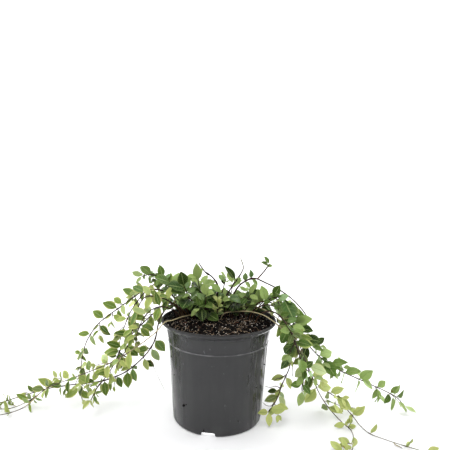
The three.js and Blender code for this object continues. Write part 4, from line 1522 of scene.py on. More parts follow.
@dataclass(frozen=True)
class PotPlastic:
    """Moulded dark grey plastic: glossy and dull streaks run down it, a painted highlight runs along its
    ridge, and its inside is darkened with soil stain and painted shade.

    Lengths are in metres and scales are spots to a metre.
    """

    name: str = "pot_plastic"
    colour: Colour = (0.0182, 0.0186, 0.0199)
    streak: Colour = (0.012, 0.012, 0.0135)
    scuff: Colour = (0.1, 0.1, 0.105)
    # The colour of the painted highlight along the ridge
    ridge_highlight: Colour = (0.15, 0.15, 0.155)
    dust: Colour = (0.06, 0.059, 0.058)
    # Soil stain and painted shade on the inside above the soil and on the top of the lip
    soil_stain_and_shade: Colour = (0.01, 0.008, 0.007)
    glossy: float = 0.11
    dull: float = 0.46
    front: float = 0.4
    calm_half_width: float = 0.034
    streaked_half_width: float = 0.058
    calm: float = 0.3
    streak_scale: float = 130.0
    streak_stretch: float = 0.07
    streak_step: Span = (0.43, 0.6)
    streak_strength: float = 0.35
    cloud_scale: float = 25.0
    cloud_step: Span = (0.35, 0.75)
    cloud_strength: float = 0.12
    cloud_dullness: float = 0.08
    scratch_scale: float = 420.0
    scratch_stretch: float = 0.25
    scratch_step: Span = (0.68, 0.74)
    patch_scale: float = 32.0
    patch_step: Span = (0.5, 0.64)
    scratch_strength: float = 0.7
    # The painted highlight along the ridge: how wide it is and how noise breaks it up
    ridge_step: Span = (0.0012, 0.0004)
    ridge_highlight_scale: float = 60.0
    ridge_highlight_step: Span = (0.35, 0.65)
    least_ridge_highlight: float = 0.4
    stain_and_shade_strength: float = 0.8
    soil_dullness: float = 0.7
    foot_height: float = 0.02
    foot_strength: float = 0.35
    grain_scale: float = 900.0
    streak_height: float = 0.05
    relief_depth: float = 0.0001
    relief_strength: float = 0.5

    def material(self) -> bpy.types.Material:
        """Makes the material.

        Returns:
            The material.
        """
        graph = Graph(self.name)
        stretch = (1.0, 1.0, self.streak_stretch)
        streaks = graph.between(graph.noise(self.streak_scale, 3.0, stretch), *self.streak_step)
        # The streaks darken the colour most at the pot's left and right sides: partly real moulding streaks,
        # partly painted shade for the dark breaks in the side lights' reflections
        half_widths = (self.calm_half_width, self.streaked_half_width)
        sides = graph.between(graph.math("ABSOLUTE", graph.coordinate("X")), *half_widths, self.calm, 1.0)
        colour = graph.mix(graph.times(streaks, sides, self.streak_strength), self.colour, self.streak)
        cloud = graph.between(graph.noise(self.cloud_scale, 4.0), *self.cloud_step)
        colour = graph.mix(graph.times(cloud, self.cloud_strength), colour, self.dust)
        stretch = (1.0, 1.0, self.scratch_stretch)
        scratches = graph.between(graph.noise(self.scratch_scale, 2.0, stretch), *self.scratch_step)
        patches = graph.between(graph.noise(self.patch_scale, 2.0), *self.patch_step)
        colour = graph.mix(graph.times(scratches, patches, self.scratch_strength), colour, self.scuff)
        height = graph.coordinate("Z")
        # Painted highlight: a light line along the ridge, broken up by noise
        ridge = graph.math("ABSOLUTE", graph.minus(height, RIDGE_HEIGHT * MM))
        ridge_highlight_breaks = graph.between(graph.noise(self.ridge_highlight_scale), *self.ridge_highlight_step, self.least_ridge_highlight, 1.0)
        colour = graph.mix(graph.times(graph.between(ridge, *self.ridge_step), ridge_highlight_breaks), colour, self.ridge_highlight)
        # Soil stain and painted shade: the inside above the soil and the top of the lip are darkened
        inside = self.inside(graph, height)
        colour = graph.mix(graph.times(inside, self.stain_and_shade_strength), colour, self.soil_stain_and_shade)
        foot = graph.times(graph.between(height, self.foot_height, 0.0), self.foot_strength)
        colour = graph.mix(graph.times(foot, cloud), colour, self.dust)
        relief = graph.plus(graph.noise(self.grain_scale), graph.times(streaks, self.streak_height))
        graph.bump(relief, self.relief_depth, self.relief_strength)
        rough = graph.between(streaks, 0.0, 1.0, self.glossy, self.dull)
        rough = graph.plus(graph.times(graph.minus(rough, self.front), sides), self.front)
        rough = graph.plus(rough, graph.times(cloud, self.cloud_dullness))
        return graph.finish(colour, graph.math("MAXIMUM", rough, graph.times(inside, self.soil_dullness)))

    def inside(self, graph: Graph, height: Socket) -> Socket:
        """Where the pot is darkened with soil stain and painted shade: on its inside above the soil, and on
        the top of its lip.

        Args:
            graph: the material's nodes.
            height: the height of the place on the pot.

        Returns:
            1 where it is darkened and 0 elsewhere.
        """
        flat = graph.add("ShaderNodeVectorMath", operation="MULTIPLY")
        graph.put(flat.inputs[0], graph.place())
        graph.put(flat.inputs[1], (1.0, 1.0, 0.0))
        span = graph.add("ShaderNodeVectorMath", operation="LENGTH")
        graph.put(span.inputs[0], flat.outputs[0])
        radii = ((COLLAR_RADIUS - WALL / 2) * MM, (LIP_INSIDE + WALL / 2) * MM)
        lip_top = (POT_HEIGHT - 4 * LIP_ROUNDING) * MM
        wall_middle = graph.between(height, LIP_FOOT * MM, lip_top, *radii)
        inside = graph.math("LESS_THAN", span.outputs["Value"], wall_middle)
        inside = graph.times(inside, graph.math("GREATER_THAN", height, (SOIL_EDGE_HEIGHT - 1) * MM))
        top = graph.math("GREATER_THAN", height, (POT_HEIGHT - LIP_ROUNDING) * MM)
        return graph.math("MAXIMUM", inside, top)


@dataclass(frozen=True)
class Compost:
    """Moist dark compost. Each crumb's own tone makes it black, brown, reddish or pale."""

    name: str = "compost"
    stops: tuple[tuple[float, Colour], ...] = (
        (0.0, (0.0015, 0.0012, 0.0011)),
        (0.35, (0.0045, 0.0032, 0.0026)),
        (0.55, (0.02, 0.011, 0.008)),
        (0.68, (0.09, 0.036, 0.022)),
        (0.85, (0.42, 0.31, 0.2)),
        (1.0, (0.9, 0.86, 0.78)),
    )
    drift_scale: float = 500.0
    drift: float = 0.35
    relief_scale: float = 1500.0
    relief_depth: float = 0.0005
    relief_strength: float = 0.8
    dull_scale: float = 300.0
    dull_step: Span = (0.3, 0.7)
    dullness: Span = (0.73, 0.95)
    specular: float = 0.08

    def material(self) -> bpy.types.Material:
        """Makes the material.

        Returns:
            The material.
        """
        graph = Graph(self.name)
        tone = graph.plus(graph.attribute("tone"), graph.drift(self.drift_scale, 4.0, self.drift))
        colour = graph.ramp(tone, self.stops)
        graph.bump(graph.noise(self.relief_scale, 4.0), self.relief_depth, self.relief_strength)
        rough = graph.between(graph.noise(self.dull_scale), *self.dull_step, *self.dullness)
        return graph.finish(colour, rough, self.specular)


@dataclass(frozen=True)
class PalePaper:
    """A plain pale floor, painted a little lighter towards the back: a painted gradient of light."""

    name: str = "pale_floor"
    near: Colour = (0.88, 0.88, 0.89)
    far: Colour = (0.97, 0.97, 0.97)
    fading: Span = (0.3, 3.0)
    grain_scale: float = 40.0
    grain: float = 0.01
    roughness: float = 0.8
    specular: float = 0.2

    def material(self) -> bpy.types.Material:
        """Makes the material.

        Returns:
            The material.
        """
        graph = Graph(self.name)
        # Painted light: the floor's colour grows lighter from the front towards the back, as the light on the
        # sweep would
        colour = graph.mix(graph.between(graph.coordinate("Y"), *self.fading), self.near, self.far)
        colour = graph.mix(graph.times(graph.noise(self.grain_scale), self.grain), colour, self.far)
        return graph.finish(colour, self.roughness, self.specular)


def deselect() -> None:
    """Leaves nothing selected."""
    bpy.ops.object.select_all(action="DESELECT")


def activate(piece: bpy.types.Object) -> None:
    """Selects one piece alone and makes it the active one.

    Args:
        piece: the piece.
    """
    deselect()
    piece.select_set(True)
    bpy.context.view_layer.objects.active = piece


def choose(piece: bpy.types.Object, test: Callable[[Vector], bool]) -> None:
    """Selects a piece's points by their place, and stays in edit mode.

    Args:
        piece: the piece.
        test: tells whether a place is chosen.
    """
    bpy.ops.object.mode_set(mode="EDIT")
    bpy.ops.mesh.select_mode(type="VERT")
    bpy.ops.mesh.select_all(action="DESELECT")
    mesh = bmesh.from_edit_mesh(piece.data)
    for vertex in mesh.verts:
        vertex.select = test(vertex.co)
    mesh.select_flush(True)
    bmesh.update_edit_mesh(piece.data)


def apply_modifier(piece: bpy.types.Object, kind: str, **settings: object) -> None:
    """Adds a modifier with its settings and applies it.

    Args:
        piece: the piece.
        kind: the modifier's type.
        settings: its settings, by name.
    """
    activate(piece)
    modifier = piece.modifiers.new(kind.title(), kind)
    for name, value in settings.items():
        setattr(modifier, name, value)
    bpy.ops.object.modifier_apply(modifier=modifier.name)


def turned_shell(name: str, rings: Sequence[tuple[float, float]], sides: int) -> bpy.types.Object:
    """Turns a closed profile, as a circle extruded ring by ring.

    Args:
        name: the piece's name.
        rings: the radius and height of each ring, in millimetres, from underneath and round to the inside.
        sides: how many sides the circle has.

    Returns:
        The piece, closed at both ends.
    """
    deselect()
    radius, height = rings[0]
    bpy.ops.mesh.primitive_circle_add(
        vertices=sides, radius=radius * MM, fill_type="NOTHING", location=(0.0, 0.0, height * MM)
    )
    piece = bpy.context.object
    piece.name = name
    bpy.ops.object.transform_apply(location=True, rotation=False, scale=False)
    bpy.ops.object.mode_set(mode="EDIT")
    bpy.ops.mesh.select_mode(type="EDGE")
    bpy.ops.mesh.select_all(action="SELECT")
    for next_radius, next_height in rings[1:]:
        lift = (0.0, 0.0, (next_height - height) * MM)
        bpy.ops.mesh.extrude_region_move(TRANSFORM_OT_translate={"value": lift})
        grow = next_radius / radius
        bpy.ops.transform.resize(value=(grow, grow, 1.0), center_override=(0.0, 0.0, next_height * MM))
        radius, height = next_radius, next_height
    bpy.ops.mesh.edge_face_add()
    first, low = (size * MM for size in rings[0])
    choose(piece, lambda co: abs(co.z - low) < 1e-6 and abs(math.hypot(co.x, co.y) - first) < 1e-5)
    bpy.ops.mesh.edge_face_add()
    bpy.ops.mesh.select_all(action="SELECT")
    bpy.ops.mesh.normals_make_consistent(inside=False)
    bpy.ops.object.mode_set(mode="OBJECT")
    return piece


@dataclass
class NurseryPot:
    """The turned pot: rounded foot, tapered wall, ridge with a painted highlight, stepped collar and flared
    lip.

    Sizes are in millimetres and angles in degrees. ridge_foot and ridge_head hold how far above the ridge a
    ring is and how proud of the wall. ridge_top and lip_rings hold how far above the ridge or below the rim
    it is and how far inside their radius. sway holds the strength, count and start of the warp's waves.
    """

    sides: int = 144
    foot_steps: int = 5
    wall_heights: tuple[float, ...] = (20.0, 45.0, 70.0, 95.0, 110.0)
    ridge_foot: tuple[Span, ...] = ((-1.7, 0.0), (-1.2, 0.15))
    ridge_top: tuple[Span, ...] = ((-0.45, 0.12), (0.0, 0.0), (0.45, 0.1))
    ridge_head: tuple[Span, ...] = ((1.2, 0.1), (1.8, 0.0))
    collar_heights: tuple[float, ...] = (125.0, 132.0, LIP_FOOT - 0.8, LIP_FOOT)
    lip_start: Span = (1.2, 0.7)
    lip_rings: tuple[Span, ...] = (
        (5.2, 2.2), (4.0, 1.0), (3.0, 0.25), (2.0, 0.0), (1.1, 0.0), (0.3, 0.3), (0.0, 1.0),
    )
    drain_sides: int = 24
    drain_ring_radius: float = 38.0
    drain_radius: float = 4.0
    drain_count: int = 6
    notch_depth: float = 18.0
    notch_centre: float = 66.0
    notch_width: float = 24.0
    notch_top_share: float = 0.78
    notch_height: float = 5.5
    notch_rounding: float = 0.8
    notch_count: int = 4
    first_notch_angle: float = -100.0
    warp: float = 0.35
    sway: tuple[tuple[float, float, float], ...] = ((1.0, 2.0, 0.6), (0.5, 3.0, 2.0))
    smooth_angle: float = 38.0

    def rings(self) -> list[tuple[float, float]]:
        """Lists the profile's rings, from underneath, up the outside and down the inside.

        Returns:
            Each ring's radius and height.
        """
        ring_foot = BASE_RADIUS - FOOT_ROUNDING
        rings = [
            (HUB_RADIUS, 0.0),
            (HUB_RADIUS + RECESS_SLOPE, RECESS_HEIGHT),
            (ring_foot - 2 * FOOT_RING_WIDTH, RECESS_HEIGHT),
            (ring_foot - FOOT_RING_WIDTH, 0.0),
        ]
        centre = wall_radius(FOOT_ROUNDING) - FOOT_ROUNDING
        for k in range(self.foot_steps + 1):
            turn = math.radians(90 * k / self.foot_steps)
            rings.append((centre + FOOT_ROUNDING * math.sin(turn), FOOT_ROUNDING * (1 - math.cos(turn))))
        rings += [(wall_radius(height), height) for height in self.wall_heights]
        foot, head = (
            [(wall_radius(RIDGE_HEIGHT + up) + proud, RIDGE_HEIGHT + up) for up, proud in slope]
            for slope in (self.ridge_foot, self.ridge_head)
        )
        rings += [*foot, *((RIDGE_RADIUS - inset, RIDGE_HEIGHT + up) for up, inset in self.ridge_top), *head]
        rings += [(wall_radius(height), height) for height in self.collar_heights]
        rings.append((wall_radius(LIP_FOOT) + self.lip_start[0], LIP_FOOT + self.lip_start[1]))
        for drop, inset in self.lip_rings:
            rings.append((RIM_RADIUS - inset * LIP_ROUNDING, POT_HEIGHT - drop * LIP_ROUNDING))
        inner_foot = wall_radius(INNER_FOOT_HEIGHT) - WALL
        rings += [
            (LIP_INSIDE + LIP_BEVEL, POT_HEIGHT),
            (LIP_INSIDE, POT_HEIGHT - LIP_BEVEL),
            (LIP_INSIDE, POT_HEIGHT - 4 * LIP_ROUNDING),
            (wall_radius(LIP_FOOT) - WALL, LIP_FOOT - LIP_ROUNDING),
            (wall_radius(RIDGE_HEIGHT) - WALL, RIDGE_HEIGHT),
            (inner_foot, INNER_FOOT_HEIGHT),
            (inner_foot - INNER_FOOT_CHAMFER, RECESS_HEIGHT + FLOOR_THICKNESS),
            (HUB_RADIUS + RECESS_SLOPE / 2, RECESS_HEIGHT + FLOOR_THICKNESS),
            (HUB_RADIUS - RECESS_SLOPE / 2, FLOOR_THICKNESS),
        ]
        return rings

    def cutters(self) -> bpy.types.Object:
        """Makes the plugs and wedges that cut the drain holes and the foot notches.

        Returns:
            All of them, as one object.
        """
        parts = []
        for i in range(self.drain_count):
            angle = 2 * math.pi * i / self.drain_count
            ring = self.drain_ring_radius * MM
            deselect()
            bpy.ops.mesh.primitive_cylinder_add(
                vertices=self.drain_sides, radius=self.drain_radius * MM, depth=4 * FLOOR_THICKNESS * MM,
                location=(ring * math.cos(angle), ring * math.sin(angle), 0.0),
            )
            parts.append(bpy.context.object)
        for i in range(self.notch_count):
            parts.append(self.notch_wedge(math.radians(self.first_notch_angle + i * 360 / self.notch_count)))
        deselect()
        for part in parts:
            part.select_set(True)
        bpy.context.view_layer.objects.active = parts[0]
        bpy.ops.object.join()
        bpy.ops.object.transform_apply(location=True, rotation=True, scale=True)
        return bpy.context.object

    def notch_wedge(self, angle: float) -> bpy.types.Object:
        """Makes the wedge that cuts one foot notch.

        Args:
            angle: where on the pot it cuts, in radians.

        Returns:
            The wedge.
        """
        deselect()
        bpy.ops.mesh.primitive_cube_add(size=1.0, location=(0.0, 0.0, 0.0))
        wedge = bpy.context.object
        wedge.scale = (self.notch_depth * MM, self.notch_width * MM, 2 * self.notch_height * MM)
        bpy.ops.object.transform_apply(location=False, rotation=False, scale=True)
        choose(wedge, lambda co: co.z > 0)
        bpy.ops.transform.resize(value=(1.0, self.notch_top_share, 1.0))
        bpy.ops.object.mode_set(mode="OBJECT")
        apply_modifier(wedge, "BEVEL", width=self.notch_rounding * MM, segments=3)
        centre = self.notch_centre * MM
        wedge.location = (centre * math.cos(angle), centre * math.sin(angle), 0.0)
        wedge.rotation_euler = (0.0, 0.0, angle)
        return wedge

    def build(self) -> bpy.types.Object:
        """Turns the pot, cuts it and gives it its finish.

        Returns:
            The pot.
        """
        pot = turned_shell("pot_shell", self.rings(), self.sides)
        cutters = self.cutters()
        apply_modifier(pot, "BOOLEAN", operation="DIFFERENCE", object=cutters, solver="EXACT")
        bpy.data.objects.remove(cutters)
        for vertex in pot.data.vertices:
            co = vertex.co
            angle = math.atan2(co.y, co.x)
            sway = sum(strength * math.sin(count * angle + start) for strength, count, start in self.sway)
            grow = 1 + self.warp * MM * sway * max(0.0, co.z) / (POT_HEIGHT * MM) / (RIM_RADIUS * MM)
            co.x *= grow
            co.y *= grow
        pot.data.materials.append(PotPlastic().material())
        activate(pot)
        bpy.ops.object.shade_smooth_by_angle(angle=math.radians(self.smooth_angle))
        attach(pot, BODY)
        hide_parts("pot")
        return pot


class Master:
    """A small shape that is modelled once and copied many times into one mesh."""

    def __init__(self, piece: bpy.types.Object) -> None:
        """Reads the modelled shape and removes its object.

        Args:
            piece: the modelled object.
        """
        mesh = piece.data
        flat = np.zeros(len(mesh.vertices) * 3, np.float32)
        mesh.vertices.foreach_get("co", flat)
        self.points = flat.reshape(-1, 3).astype(float)
        self.faces = [tuple(face.vertices) for face in mesh.polygons]
        bpy.data.objects.remove(piece)


class Heap:
    """Many copies of masters gathered into one mesh, with the numbers that their material reads."""

    def __init__(self) -> None:
        """Starts empty."""
        self.points: list[np.ndarray] = []
        self.faces: list[tuple[int, ...]] = []
        self.numbers: dict[str, list[np.ndarray]] = {}
        self.slots: list[int] = []
        self.count = 0

    def add(
        self, points: np.ndarray, faces: Sequence[tuple[int, ...]], slot: int = 0, **numbers: object
    ) -> None:
        """Adds one copy.

        Args:
            points: its places, in millimetres.
            faces: its faces, as indices into the points.
            slot: the material slot of its faces.
            numbers: one number for the copy, or one for each point, by name.
        """
        self.points.append(points)
        self.faces.extend(tuple(i + self.count for i in face) for face in faces)
        self.slots.extend([slot] * len(faces))
        for name, value in numbers.items():
            held = self.numbers.setdefault(name, [np.zeros(self.count)])
            held.append(np.broadcast_to(np.asarray(value, float), (len(points),)))
        self.count += len(points)
        for held in self.numbers.values():
            short = self.count - sum(len(part) for part in held)
            if short:
                held.append(np.zeros(short))

    def piece(self, name: str, materials: Sequence[bpy.types.Material]) -> bpy.types.Object:
        """Makes the object, in metres, smooth shaded.

        Args:
            name: the object's name.
            materials: its materials, by slot.

        Returns:
            The object.
        """
        mesh = bpy.data.meshes.new(name)
        places = np.concatenate(self.points) * MM
        mesh.from_pydata(places.tolist(), [], self.faces)
        mesh.update()
        for material in materials:
            mesh.materials.append(material)
        mesh.polygons.foreach_set("material_index", self.slots)
        mesh.polygons.foreach_set("use_smooth", [True] * len(self.faces))
        for attribute, held in self.numbers.items():
            layer = mesh.attributes.new(attribute, "FLOAT", "POINT")
            layer.data.foreach_set("value", np.concatenate(held).astype(np.float32))
        piece = bpy.data.objects.new(name, mesh)
        bpy.context.scene.collection.objects.link(piece)
        return piece


def turn_about(axis: str, angle: float) -> np.ndarray:
    """A turn about an axis.

    Args:
        axis: Y or Z.
        angle: how far, in radians.

    Returns:
        Its matrix.
    """
    c, s = math.cos(angle), math.sin(angle)
    rows = [[c, -s, 0], [s, c, 0], [0, 0, 1]] if axis == "Z" else [[c, 0, s], [0, 1, 0], [-s, 0, c]]
    return np.array(rows)


def tilted(random: np.random.Generator, tilt: float) -> np.ndarray:
    """Draws a turn about the upright, tilted to any side.

    Args:
        random: where the draws come from.
        tilt: how far it usually tilts, in degrees.

    Returns:
        Its matrix.
    """
    spin = random.uniform(0, 2 * math.pi)
    lean = math.radians(tilt) * random.normal()
    way = random.uniform(0, 6)
    return turn_about("Z", way) @ turn_about("Y", lean) @ turn_about("Z", spin)


def rare_draw(random: np.random.Generator, least: float, spread: float, power: float) -> float:
    """Draws a number, seldom a large one.

    Args:
        random: where the draw comes from.
        least: the least that it can be.
        spread: how much more it can be.
        power: how seldom it is large.

    Returns:
        The number.
    """
    return least + spread * random.uniform() ** power


@dataclass
class Soil:
    """The compost in the pot: a fine lumpy top with crumbs, bark, fibres and pale specks on it.

    Sizes are in millimetres and tilts in degrees. Two numbers are the least and the greatest that can be
    drawn, and three are what rare_draw takes. A wall crumb has an angle, a height and a size.
    """

    seed: int = 7
    sides: int = 160
    rings: int = 44
    roughness: float = 1.1
    coarse_lumps: float = 0.16
    fine_lumps: float = 0.45
    fine_share: float = 0.55
    body_tones: Span = (0.05, 0.4)
    edge_margin: float = 2.2
    crumb_shapes: int = 5
    crumb_unevenness: float = 0.5
    crumb_count: int = 3400
    crumb_sizes: Draw = (0.45, 1.6, 2.5)
    crumb_tones: Draw = (0.0, 0.58, 1.7)
    crumb_widths: Span = (0.6, 1.0)
    crumb_heights: Span = (0.5, 0.9)
    crumb_tilt: float = 35.0
    crumb_lift: float = 0.2
    speck_count: int = 420
    speck_sizes: Span = (0.5, 1.0)
    speck_tones: Span = (0.84, 1.0)
    bark_count: int = 110
    bark_unevenness: float = 0.35
    bark_margin: float = 5.0
    bark_halves: tuple[Span, ...] = ((1.0, 3.0), (0.5, 1.0), (0.25, 0.5))
    bark_tones: Span = (0.3, 0.7)
    bark_tilt: float = 14.0
    bark_lift: float = 0.5
    clinging_count: int = 1100
    clinging_foot: float = SOIL_EDGE_HEIGHT + 0.5
    clinging_rise: float = POT_HEIGHT - 3.5 - SOIL_EDGE_HEIGHT
    clinging_climb: float = 1.6
    clinging_sizes: Draw = (0.5, 1.1, 2.0)
    clinging_growth: float = 1.15
    clinging_shrink: float = 0.5
    clinging_inset: float = 0.6
    clinging_tones: Draw = (0.0, 0.62, 1.4)
    clinging_tilt: float = 60.0
    pale_share: float = 0.05
    pale_tone: float = 0.95
    wall_crumbs: tuple[tuple[float, float, float], ...] = (
        (-132.0, 37.0, 1.9), (-128.0, 40.0, 0.8), (-105.0, 9.0, 1.0), (-64.0, 21.0, 0.7), (-150.0, 74.0, 0.8),
        (-38.0, 61.0, 0.8), (-21.0, 88.0, 1.0), (-158.0, 98.0, 0.9), (35.0, 52.0, 1.0),
    )
    wall_tone: float = 0.2
    wall_tilt: float = 20.0
    wall_gap: float = 0.4
    fibre_count: int = 230
    fibre_margin: float = 9.0
    fibre_reach: float = 70.0
    fibre_rings: int = 7
    fibre_bends: Span = (-0.16, 0.16)
    fibre_halves: Span = (0.12, 0.26)
    fibre_steps: Span = (0.8, 2.2)
    fibre_lift: float = 0.5
    fibre_tones: Span = (0.72, 0.92)

    def height(self, x: float, y: float) -> float:
        """The height of the top with its small lumps.

        Args:
            x: the place, from the left to the right.
            y: the place, from the front to the back.

        Returns:
            The height.
        """
        coarse = noise.noise(Vector((x * self.coarse_lumps, y * self.coarse_lumps, 3.1)))
        fine = noise.noise(Vector((x * self.fine_lumps, y * self.fine_lumps, 8.7)))
        return soil_top(x, y) + self.roughness * (coarse + self.fine_share * fine)

    def body(self) -> bpy.types.Object:
        """Turns the filling and raises its top into lumps.

        Returns:
            The filling.
        """
        top, foot, ridge = (
            wall_radius(height) - WALL - SOIL_WALL_GAP
            for height in (SOIL_EDGE_HEIGHT, INNER_FOOT_HEIGHT, RIDGE_HEIGHT)
        )
        raised = RECESS_HEIGHT + FLOOR_THICKNESS + SOIL_FLOOR_GAP
        rings = [
            (HUB_RADIUS - RECESS_SLOPE / 2 - SOIL_FLOOR_GAP, FLOOR_THICKNESS + SOIL_FLOOR_GAP),
            (HUB_RADIUS + RECESS_SLOPE / 2 - SOIL_FLOOR_GAP, raised),
            (foot - INNER_FOOT_CHAMFER, raised),
            (foot, INNER_FOOT_HEIGHT + SOIL_FLOOR_GAP),
            (ridge, RIDGE_HEIGHT + SOIL_FLOOR_GAP),
            (top, SOIL_EDGE_HEIGHT),
            *((top * (1 - k / self.rings), SOIL_EDGE_HEIGHT) for k in range(1, self.rings)),
        ]
        piece = turned_shell("soil_body", rings, self.sides)
        for vertex in piece.data.vertices:
            x, y = vertex.co.x / MM, vertex.co.y / MM
            if vertex.co.z > (SOIL_EDGE_HEIGHT - 0.5) * MM and math.hypot(x, y) < top - 0.5:
                vertex.co.z = self.height(x, y) * MM
        layer = piece.data.attributes.new("tone", "FLOAT", "POINT")
        tones = np.random.default_rng(self.seed).uniform(*self.body_tones, len(piece.data.vertices))
        layer.data.foreach_set("value", tones.astype(np.float32))
        activate(piece)
        bpy.ops.object.shade_smooth()
        return piece

    def uneven_master(self, cuts: int, offset: float, seed: int) -> Master:
        """Makes the active object's points uneven and reads it as a master.

        Args:
            cuts: how many cuts its edges get before.
            offset: how far its points move.
            seed: the seed of their moves.

        Returns:
            The master.
        """
        bpy.ops.object.mode_set(mode="EDIT")
        bpy.ops.mesh.select_all(action="SELECT")
        if cuts:
            bpy.ops.mesh.subdivide(number_cuts=cuts)
        bpy.ops.transform.vertex_random(offset=offset, seed=seed)
        bpy.ops.object.mode_set(mode="OBJECT")
        return Master(bpy.context.object)

    def crumb_masters(self) -> list[Master]:
        """Makes a few crumbs of different shapes.

        Returns:
            The masters, each with twenty faces.
        """
        masters = []
        for seed in range(self.crumb_shapes):
            deselect()
            bpy.ops.mesh.primitive_ico_sphere_add(subdivisions=1, radius=1.0)
            masters.append(self.uneven_master(0, self.crumb_unevenness, seed))
        return masters

    def bark_master(self) -> Master:
        """Makes a splinter of bark.

        Returns:
            The master.
        """
        deselect()
        bpy.ops.mesh.primitive_cube_add(size=2.0)
        return self.uneven_master(1, self.bark_unevenness, 4)

    def scattered(self, random: np.random.Generator, margin: float) -> tuple[float, float]:
        """Draws a place on the top, evenly spread.

        Args:
            random: where the draws come from.
            margin: how far it stays from the edge.

        Returns:
            The place, from the left to the right and from the front to the back.
        """
        top = wall_radius(SOIL_EDGE_HEIGHT) - WALL - SOIL_WALL_GAP - margin
        radius, angle = top * math.sqrt(random.uniform()), random.uniform(0, 2 * math.pi)
        return radius * math.cos(angle), radius * math.sin(angle)

    def litter(self) -> bpy.types.Object:
        """Makes all that lies on the top and clings to the pot.

        Returns:
            The litter, as one piece.
        """
        random = np.random.default_rng(self.seed + 1)
        heap = Heap()
        crumbs = self.crumb_masters()
        for i in range(self.crumb_count + self.speck_count):
            self.add_crumb(heap, random, crumbs, i >= self.crumb_count)
        bark = self.bark_master()
        for _ in range(self.bark_count):
            x, y = self.scattered(random, self.bark_margin)
            halves = [random.uniform(*halves) for halves in self.bark_halves]
            places = (bark.points * halves) @ tilted(random, self.bark_tilt).T
            tone = random.uniform(*self.bark_tones)
            heap.add(places + [x, y, self.height(x, y) + self.bark_lift], bark.faces, tone=tone)
        for _ in range(self.clinging_count):
            self.add_clinging(heap, random, crumbs[int(random.integers(len(crumbs)))])
        for angle, height, size in self.wall_crumbs:
            way = math.radians(angle)
            radius = wall_radius(height) + self.wall_gap * size
            places = (crumbs[0].points * size) @ tilted(random, self.wall_tilt).T
            centre = [radius * math.cos(way), radius * math.sin(way), height]
            heap.add(places + centre, crumbs[0].faces, tone=self.wall_tone)
        for _ in range(self.fibre_count):
            self.add_fibre(heap, random)
        return heap.piece("soil_litter", [])

    def add_crumb(
        self, heap: Heap, random: np.random.Generator, crumbs: Sequence[Master], is_speck: bool
    ) -> None:
        """Adds one crumb or pale speck on the top.

        Args:
            heap: the litter's mesh.
            random: where the draws come from.
            crumbs: the shapes that it may have.
            is_speck: True for a speck.
        """
        size = random.uniform(*self.speck_sizes) if is_speck else rare_draw(random, *self.crumb_sizes)
        x, y = self.scattered(random, self.edge_margin)
        master = crumbs[int(random.integers(len(crumbs)))]
        shape = (1.0, random.uniform(*self.crumb_widths), random.uniform(*self.crumb_heights))
        places = (master.points * (np.array(shape) * size)) @ tilted(random, self.crumb_tilt).T
        tone = random.uniform(*self.speck_tones) if is_speck else rare_draw(random, *self.crumb_tones)
        heap.add(places + [x, y, self.height(x, y) + self.crumb_lift * size], master.faces, tone=tone)

    def add_clinging(self, heap: Heap, random: np.random.Generator, crumb: Master) -> None:
        """Adds one crumb that clings to the pot's inside, just above the soil.

        Args:
            heap: the litter's mesh.
            random: where the draws come from.
            crumb: its shape.
        """
        angle = random.uniform(0, 2 * math.pi)
        climb = random.uniform() ** self.clinging_climb
        height = self.clinging_foot + self.clinging_rise * climb
        low = wall_radius(LIP_FOOT) - WALL
        bend = LIP_FOOT - LIP_ROUNDING
        share = max(0.0, (height - bend) / (POT_HEIGHT - 4 * LIP_ROUNDING - bend))
        size = rare_draw(random, *self.clinging_sizes) * (self.clinging_growth - self.clinging_shrink * climb)
        radius = low + (LIP_INSIDE - low) * min(1.0, share) - self.clinging_inset * size
        places = (crumb.points * size) @ tilted(random, self.clinging_tilt).T
        is_pale = random.uniform() < self.pale_share
        tone = self.pale_tone if is_pale else rare_draw(random, *self.clinging_tones)
        centre = [radius * math.cos(angle), radius * math.sin(angle), height]
        heap.add(places + centre, crumb.faces, tone=tone)

    def add_fibre(self, heap: Heap, random: np.random.Generator) -> None:
        """Adds one bent beige fibre of four sides.

        Args:
            heap: the litter's mesh.
            random: where the draws come from.
        """
        x, y = self.scattered(random, self.fibre_margin)
        way, bend = random.uniform(0, 2 * math.pi), random.uniform(*self.fibre_bends)
        half = random.uniform(*self.fibre_halves)
        reach = random.uniform(*self.fibre_steps)
        points = []
        for k in range(self.fibre_rings):
            x += reach * math.cos(way)
            y += reach * math.sin(way)
            way += bend
            arch = self.fibre_lift * math.sin(math.pi * k / (self.fibre_rings - 1))
            lift = self.height(x, y) + self.fibre_lift + arch
            if math.hypot(x, y) > self.fibre_reach:
                break
            side = (-math.sin(way), math.cos(way))
            for across, up in ((1, 0), (0, 1), (-1, 0), (0, -1)):
                points.append((x + side[0] * across * half, y + side[1] * across * half, lift + up * half))
        rings = len(points) // 4
        if rings < 3:
            return
        pairs = [(4 * k + j, 4 * k + (j + 1) % 4) for k in range(rings - 1) for j in range(4)]
        faces = [(a, b, b + 4, a + 4) for a, b in pairs]
        faces.append((3, 2, 1, 0))
        faces.append(tuple(4 * (rings - 1) + j for j in range(4)))
        heap.add(np.array(points), faces, tone=random.uniform(*self.fibre_tones))

    def build(self) -> bpy.types.Object:
        """Makes the soil with its finish.

        Returns:
            The soil, as one piece.
        """
        body = self.body()
        litter = self.litter()
        body.data.materials.append(Compost().material())
        litter.data.materials.append(body.data.materials[0])
        deselect()
        litter.select_set(True)
        body.select_set(True)
        bpy.context.view_layer.objects.active = body
        bpy.ops.object.join()
        body.name = "soil_and_litter"
        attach(body, BODY)
        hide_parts("soil")
        return body


